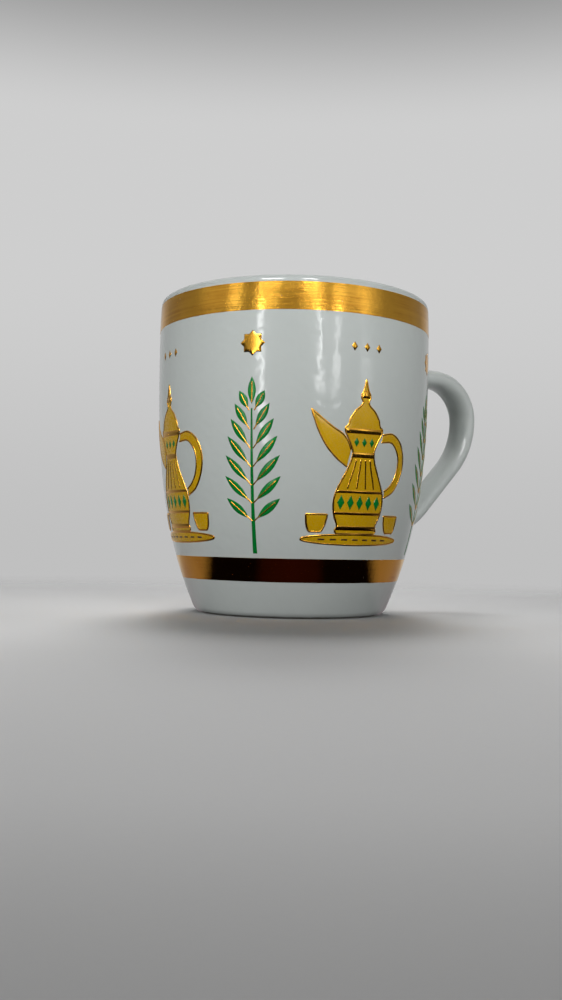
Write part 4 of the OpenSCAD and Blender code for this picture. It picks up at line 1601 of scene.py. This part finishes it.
def reflected_card(name, angles, rows, material, tone, soft):
    """A card that only the gloss sees. Its points carry their tone and how solid the card is there."""
    piece = stage_piece(name, angles, rows, material)
    tones = [v for _, z in rows for a in angles for v in opaque(tone(a, z))]
    mark(piece.data, "tone", tones, "FLOAT_COLOR", "color")
    mark(piece.data, "soft", [soft(r, z) for r, z in rows for _ in angles])
    piece.visible_camera = False
    piece.visible_diffuse = False
    piece.visible_shadow = False
    piece.visible_transmission = False


FLOOR_RINGS = (0.0005, 0.03, 0.06, 0.12, 0.25, 0.5, 0.8)
FLOOR_CARD_RINGS = np.linspace(0.022, 0.13, 16)
FLOOR_CARD_LIFT = 0.0001
FLOOR_CARD_EDGE = (0.13, 0.1)
SCREEN_RADIUS = 1.5
SCREEN_EDGE = (1.9, 1.6)
SCREEN_HEIGHTS = (-2.5, -1.5, -1.0, *np.linspace(-0.5, 0.4, 19), *np.linspace(0.42, 0.66, 13),
                  *np.linspace(0.7, SCREEN_EDGE[0], 25))
SCREEN_TONES = ((-180, 0.58), (-150, 0.55), (-130, 0.27), (-36, 0.25), (-28, 0.38), (22, 0.38), (30, 0.25),
                (130, 0.27), (150, 0.55), (180, 0.58))
SCREEN_RISE = ((0.05, 0.06), (0.4, 1))
BACK_RISE = 0.9
BACK_ANGLES = (95, 135)
WINDOWS = (
    {"heights": (-0.16, -0.11, 0.02, 0.16, 0.42, 0.47), "angles": (-18.5, -19.8, -23.1, -26.2, -26.8, -28),
     "glow": (0, 8, 11, 10, 10, 0.5), "width": 1.7},
    {"heights": (0.12, 0.27, 0.36, 0.42, 0.47), "angles": (23, 21.3, 20.5, 19.1, 16.5),
     "glow": (0, 7, 10, 10, 0.5), "width": 1.7},
    {"heights": (0.12, 0.27, 0.42, 0.47), "angles": (33, 34, 35, 36), "glow": (0, 5, 5, 0), "width": 2.6},
    {"heights": (0.12, 0.2, 0.3, 0.36, 0.6), "angles": (61, 61, 61, 59, 58), "glow": (0, 2, 2, 0.6, 0.2),
     "width": 5},
)
HALO_WIDTH = 3.5
HALO_SHARE = 0.08
FLOOR_CARD_TONES = ((0, (0.017, 0.0035, 0.003)), (18, (0.013, 0.003, 0.0025)), (25, (0.002, 0.001, 0.001)),
                    (63, (0.002, 0.001, 0.001)), (73, (0.2, 0.17, 0.18)), (79, (0.25, 0.2, 0.21)),
                    (115, (0.28, 0.24, 0.25)), (140, (0.4, 0.4, 0.4)), (180, (0.42, 0.42, 0.42)))
# Angle, width, height, depth and glow of each soft patch on the screen.
PATCHES = (
    (-62, 22, 0.56, 0.13, 0.3),
    (-50, 6, 0.56, 0.13, 0.75),
    (-22.8, 9.8, 0.56, 0.13, 0.75),
    (15.2, 9.6, 0.56, 0.13, 0.75),
    (-4, 14, 0.65, 0.05, 0.4),
    (36, 6, 0.56, 0.13, 0.5),
    (50, 22, 0.56, 0.13, 0.55),
    (-4, 16, 0.545, 0.025, -0.16),
    (-172, 30, 0.55, 0.12, -0.2),
    (172, 30, 0.55, 0.12, -0.2),
    (-20, 9, 1.06, 0.25, 24),
    (13, 7, 1.02, 0.25, 20),
)
# Name, place by angle, distance and height, height aimed at, size, power and spread of each panel.
PANELS = (
    ("Back panel", (180, 0.58, 0.48), 0.02, (0.4, 0.4), 0.256, 40),
    ("High back panel", (180, 0.32, 0.72), 0.02, (0.25, 0.25), 0.12, 40),
    ("Left panel", (-80, 0.6, 0.12), 0.06, (0.4, 0.2), 0.679, 180),
    ("Left front panel", (-45, 0.6, 0.18), 0.078, (0.4, 0.2), 0.107, 40),
    ("Front panel", (25, 0.6, 0.18), 0.08, (0.3, 0.15), 0.0724, 25),
    ("Right front panel", (45, 0.6, 0.18), 0.078, (0.4, 0.2), 0.0534, 40),
    ("Low back panel", (180, 0.6, 0.12), 0.06, (0.4, 0.2), 0.25, 180),
)


def screen_tone(angle, height):
    """Tone of the screen around the cup: dim low in front, with the windows that streak the glaze."""
    rise = np.interp(height, *zip(*SCREEN_RISE))
    rise += (BACK_RISE - rise) * eased(abs(angle), *BACK_ANGLES)
    tone = np.interp(angle, *zip(*SCREEN_TONES)) * rise
    for window in WINDOWS:
        off = (angle - np.interp(height, window["heights"], window["angles"])) / window["width"]
        glow = np.interp(height, window["heights"], window["glow"])
        tone += glow * (math.exp(-off ** 2) + HALO_SHARE * math.exp(-(off / HALO_WIDTH) ** 2))
    for middle, width, level, depth, glow in PATCHES:
        tone += glow * math.exp(-((angle - middle) / width) ** 4 - ((height - level) / depth) ** 4)
    return (tone, tone, tone)


def floor_card_tone(angle, _height):
    """Tone of the card on the floor, nearly black in front of the cup."""
    angles, tones = zip(*FLOOR_CARD_TONES)
    return [np.interp(abs(angle), angles, channel) for channel in zip(*tones)]


def set_world():
    """Even light from all round, and a pale backdrop with painted shade, a little darker low and high, that
    is seen.
    """
    stage = settings().stage
    world = bpy.data.worlds.new("Studio")
    bpy.context.scene.world = world
    sheet = node_sheet(world)
    ray = sheet.put("ShaderNodeLightPath").outputs
    seen = sheet.math("MAXIMUM", ray["Is Camera Ray"],
                      sheet.math("MAXIMUM", ray["Is Glossy Ray"], ray["Is Transmission Ray"]))
    light = sheet.put("ShaderNodeBackground", {"Color": (1, 1, 1, 1), "Strength": stage.ambient})
    high = sheet.separate(sheet.put("ShaderNodeTexCoord").outputs["Generated"])["Z"]
    # Painted shade on the backdrop: darker near the horizon, and for the camera darker high up.
    top = sheet.times(ray["Is Camera Ray"], sheet.ease(high, 0.38, 0.52, 0.0, 0.6))
    tone = sheet.times(sheet.ease(high, -0.03, 0.26, 0.91, 1.07), sheet.minus(1.0, top))
    backdrop = sheet.put("ShaderNodeBackground", {"Color": sheet.scaled(stage.backdrop, tone),
                                                  "Strength": 1.0})
    mixed = sheet.put("ShaderNodeMixShader", {0: seen, 1: light.outputs[0], 2: backdrop.outputs[0]})
    sheet.put("ShaderNodeOutputWorld", {"Surface": mixed.outputs[0]})


class COFFEECUP_OT_stage(CupOperator):
    """Sets the camera, the floor, the light and the cards that the gloss sees."""

    bl_idname = "coffee_cup.stage"
    bl_label = "Stage"

    def make(self):
        stage = settings().stage
        lens = bpy.data.cameras.new("Camera")
        lens.lens = stage.lens
        lens.sensor_fit = "AUTO"
        lens.sensor_width = 36
        lens.clip_start = 0.005
        camera = new_object("Camera", lens)
        camera.location = stage.camera_place
        camera.rotation_euler = stage.camera_turn
        bpy.context.scene.camera = camera

        turn = np.linspace(0, 360, 97)
        floor = stage_piece("floor", turn, [(r, 0.0) for r in FLOOR_RINGS], floor_material())
        floor.visible_diffuse = False
        floor.visible_glossy = False
        card = card_material()
        reflected_card("reflected_screen", np.linspace(-180, 180, 721),
                       [(SCREEN_RADIUS, z) for z in SCREEN_HEIGHTS], card, screen_tone,
                       lambda r, z: eased(z, *SCREEN_EDGE))
        reflected_card("reflected_floor_card", np.linspace(-180, 180, 361),
                       [(r, FLOOR_CARD_LIFT) for r in FLOOR_CARD_RINGS], card, floor_card_tone,
                       lambda r, z: eased(r, *FLOOR_CARD_EDGE))

        set_world()
        for name, (angle, distance, height), aim_height, size, power, spread in PANELS:
            soft_light(name, around(angle, distance, height), aim_height, size, power * stage.panels, spread)
        bpy.context.scene.view_settings.view_transform = "Standard"


class COFFEECUP_PT_panel(bpy.types.Panel):
    """Lists the steps of the cup and the values that they use."""

    bl_idname = "COFFEECUP_PT_panel"
    bl_label = "Coffee Cup"
    bl_space_type = "VIEW_3D"
    bl_region_type = "UI"
    bl_category = "Coffee Cup"

    def draw(self, context):
        layout = self.layout
        for operator in OPERATORS:
            layout.operator(operator.bl_idname)
        cup = context.scene.coffee_cup
        for title in ("cup", "bands", "handle", "frieze", "finish", "stage"):
            box = layout.box()
            box.label(text=title.title())
            group = getattr(cup, title)
            for name in group.__annotations__:
                box.prop(group, name)


GROUPS = (CupShape, BandShape, HandleShape, FriezeShape, CupFinish, StageSetup, CoffeeCupSettings)
OPERATORS = (COFFEECUP_OT_body, COFFEECUP_OT_handle, COFFEECUP_OT_bands, COFFEECUP_OT_pots,
             COFFEECUP_OT_sprigs, COFFEECUP_OT_stars, COFFEECUP_OT_stage)
CLASSES = (*GROUPS, *OPERATORS, COFFEECUP_PT_panel)


def register():
    for cls in CLASSES:
        bpy.utils.register_class(cls)
    bpy.types.Scene.coffee_cup = PointerProperty(type=CoffeeCupSettings)


def unregister():
    del bpy.types.Scene.coffee_cup
    for cls in reversed(CLASSES):
        bpy.utils.unregister_class(cls)


def main():
    register()
    bpy.ops.coffee_cup.body()
    bpy.ops.coffee_cup.handle()
    bpy.ops.coffee_cup.bands()
    bpy.ops.coffee_cup.pots()
    bpy.ops.coffee_cup.sprigs()
    bpy.ops.coffee_cup.stars()
    bpy.ops.coffee_cup.stage()


if __name__ == "__main__":
    main()
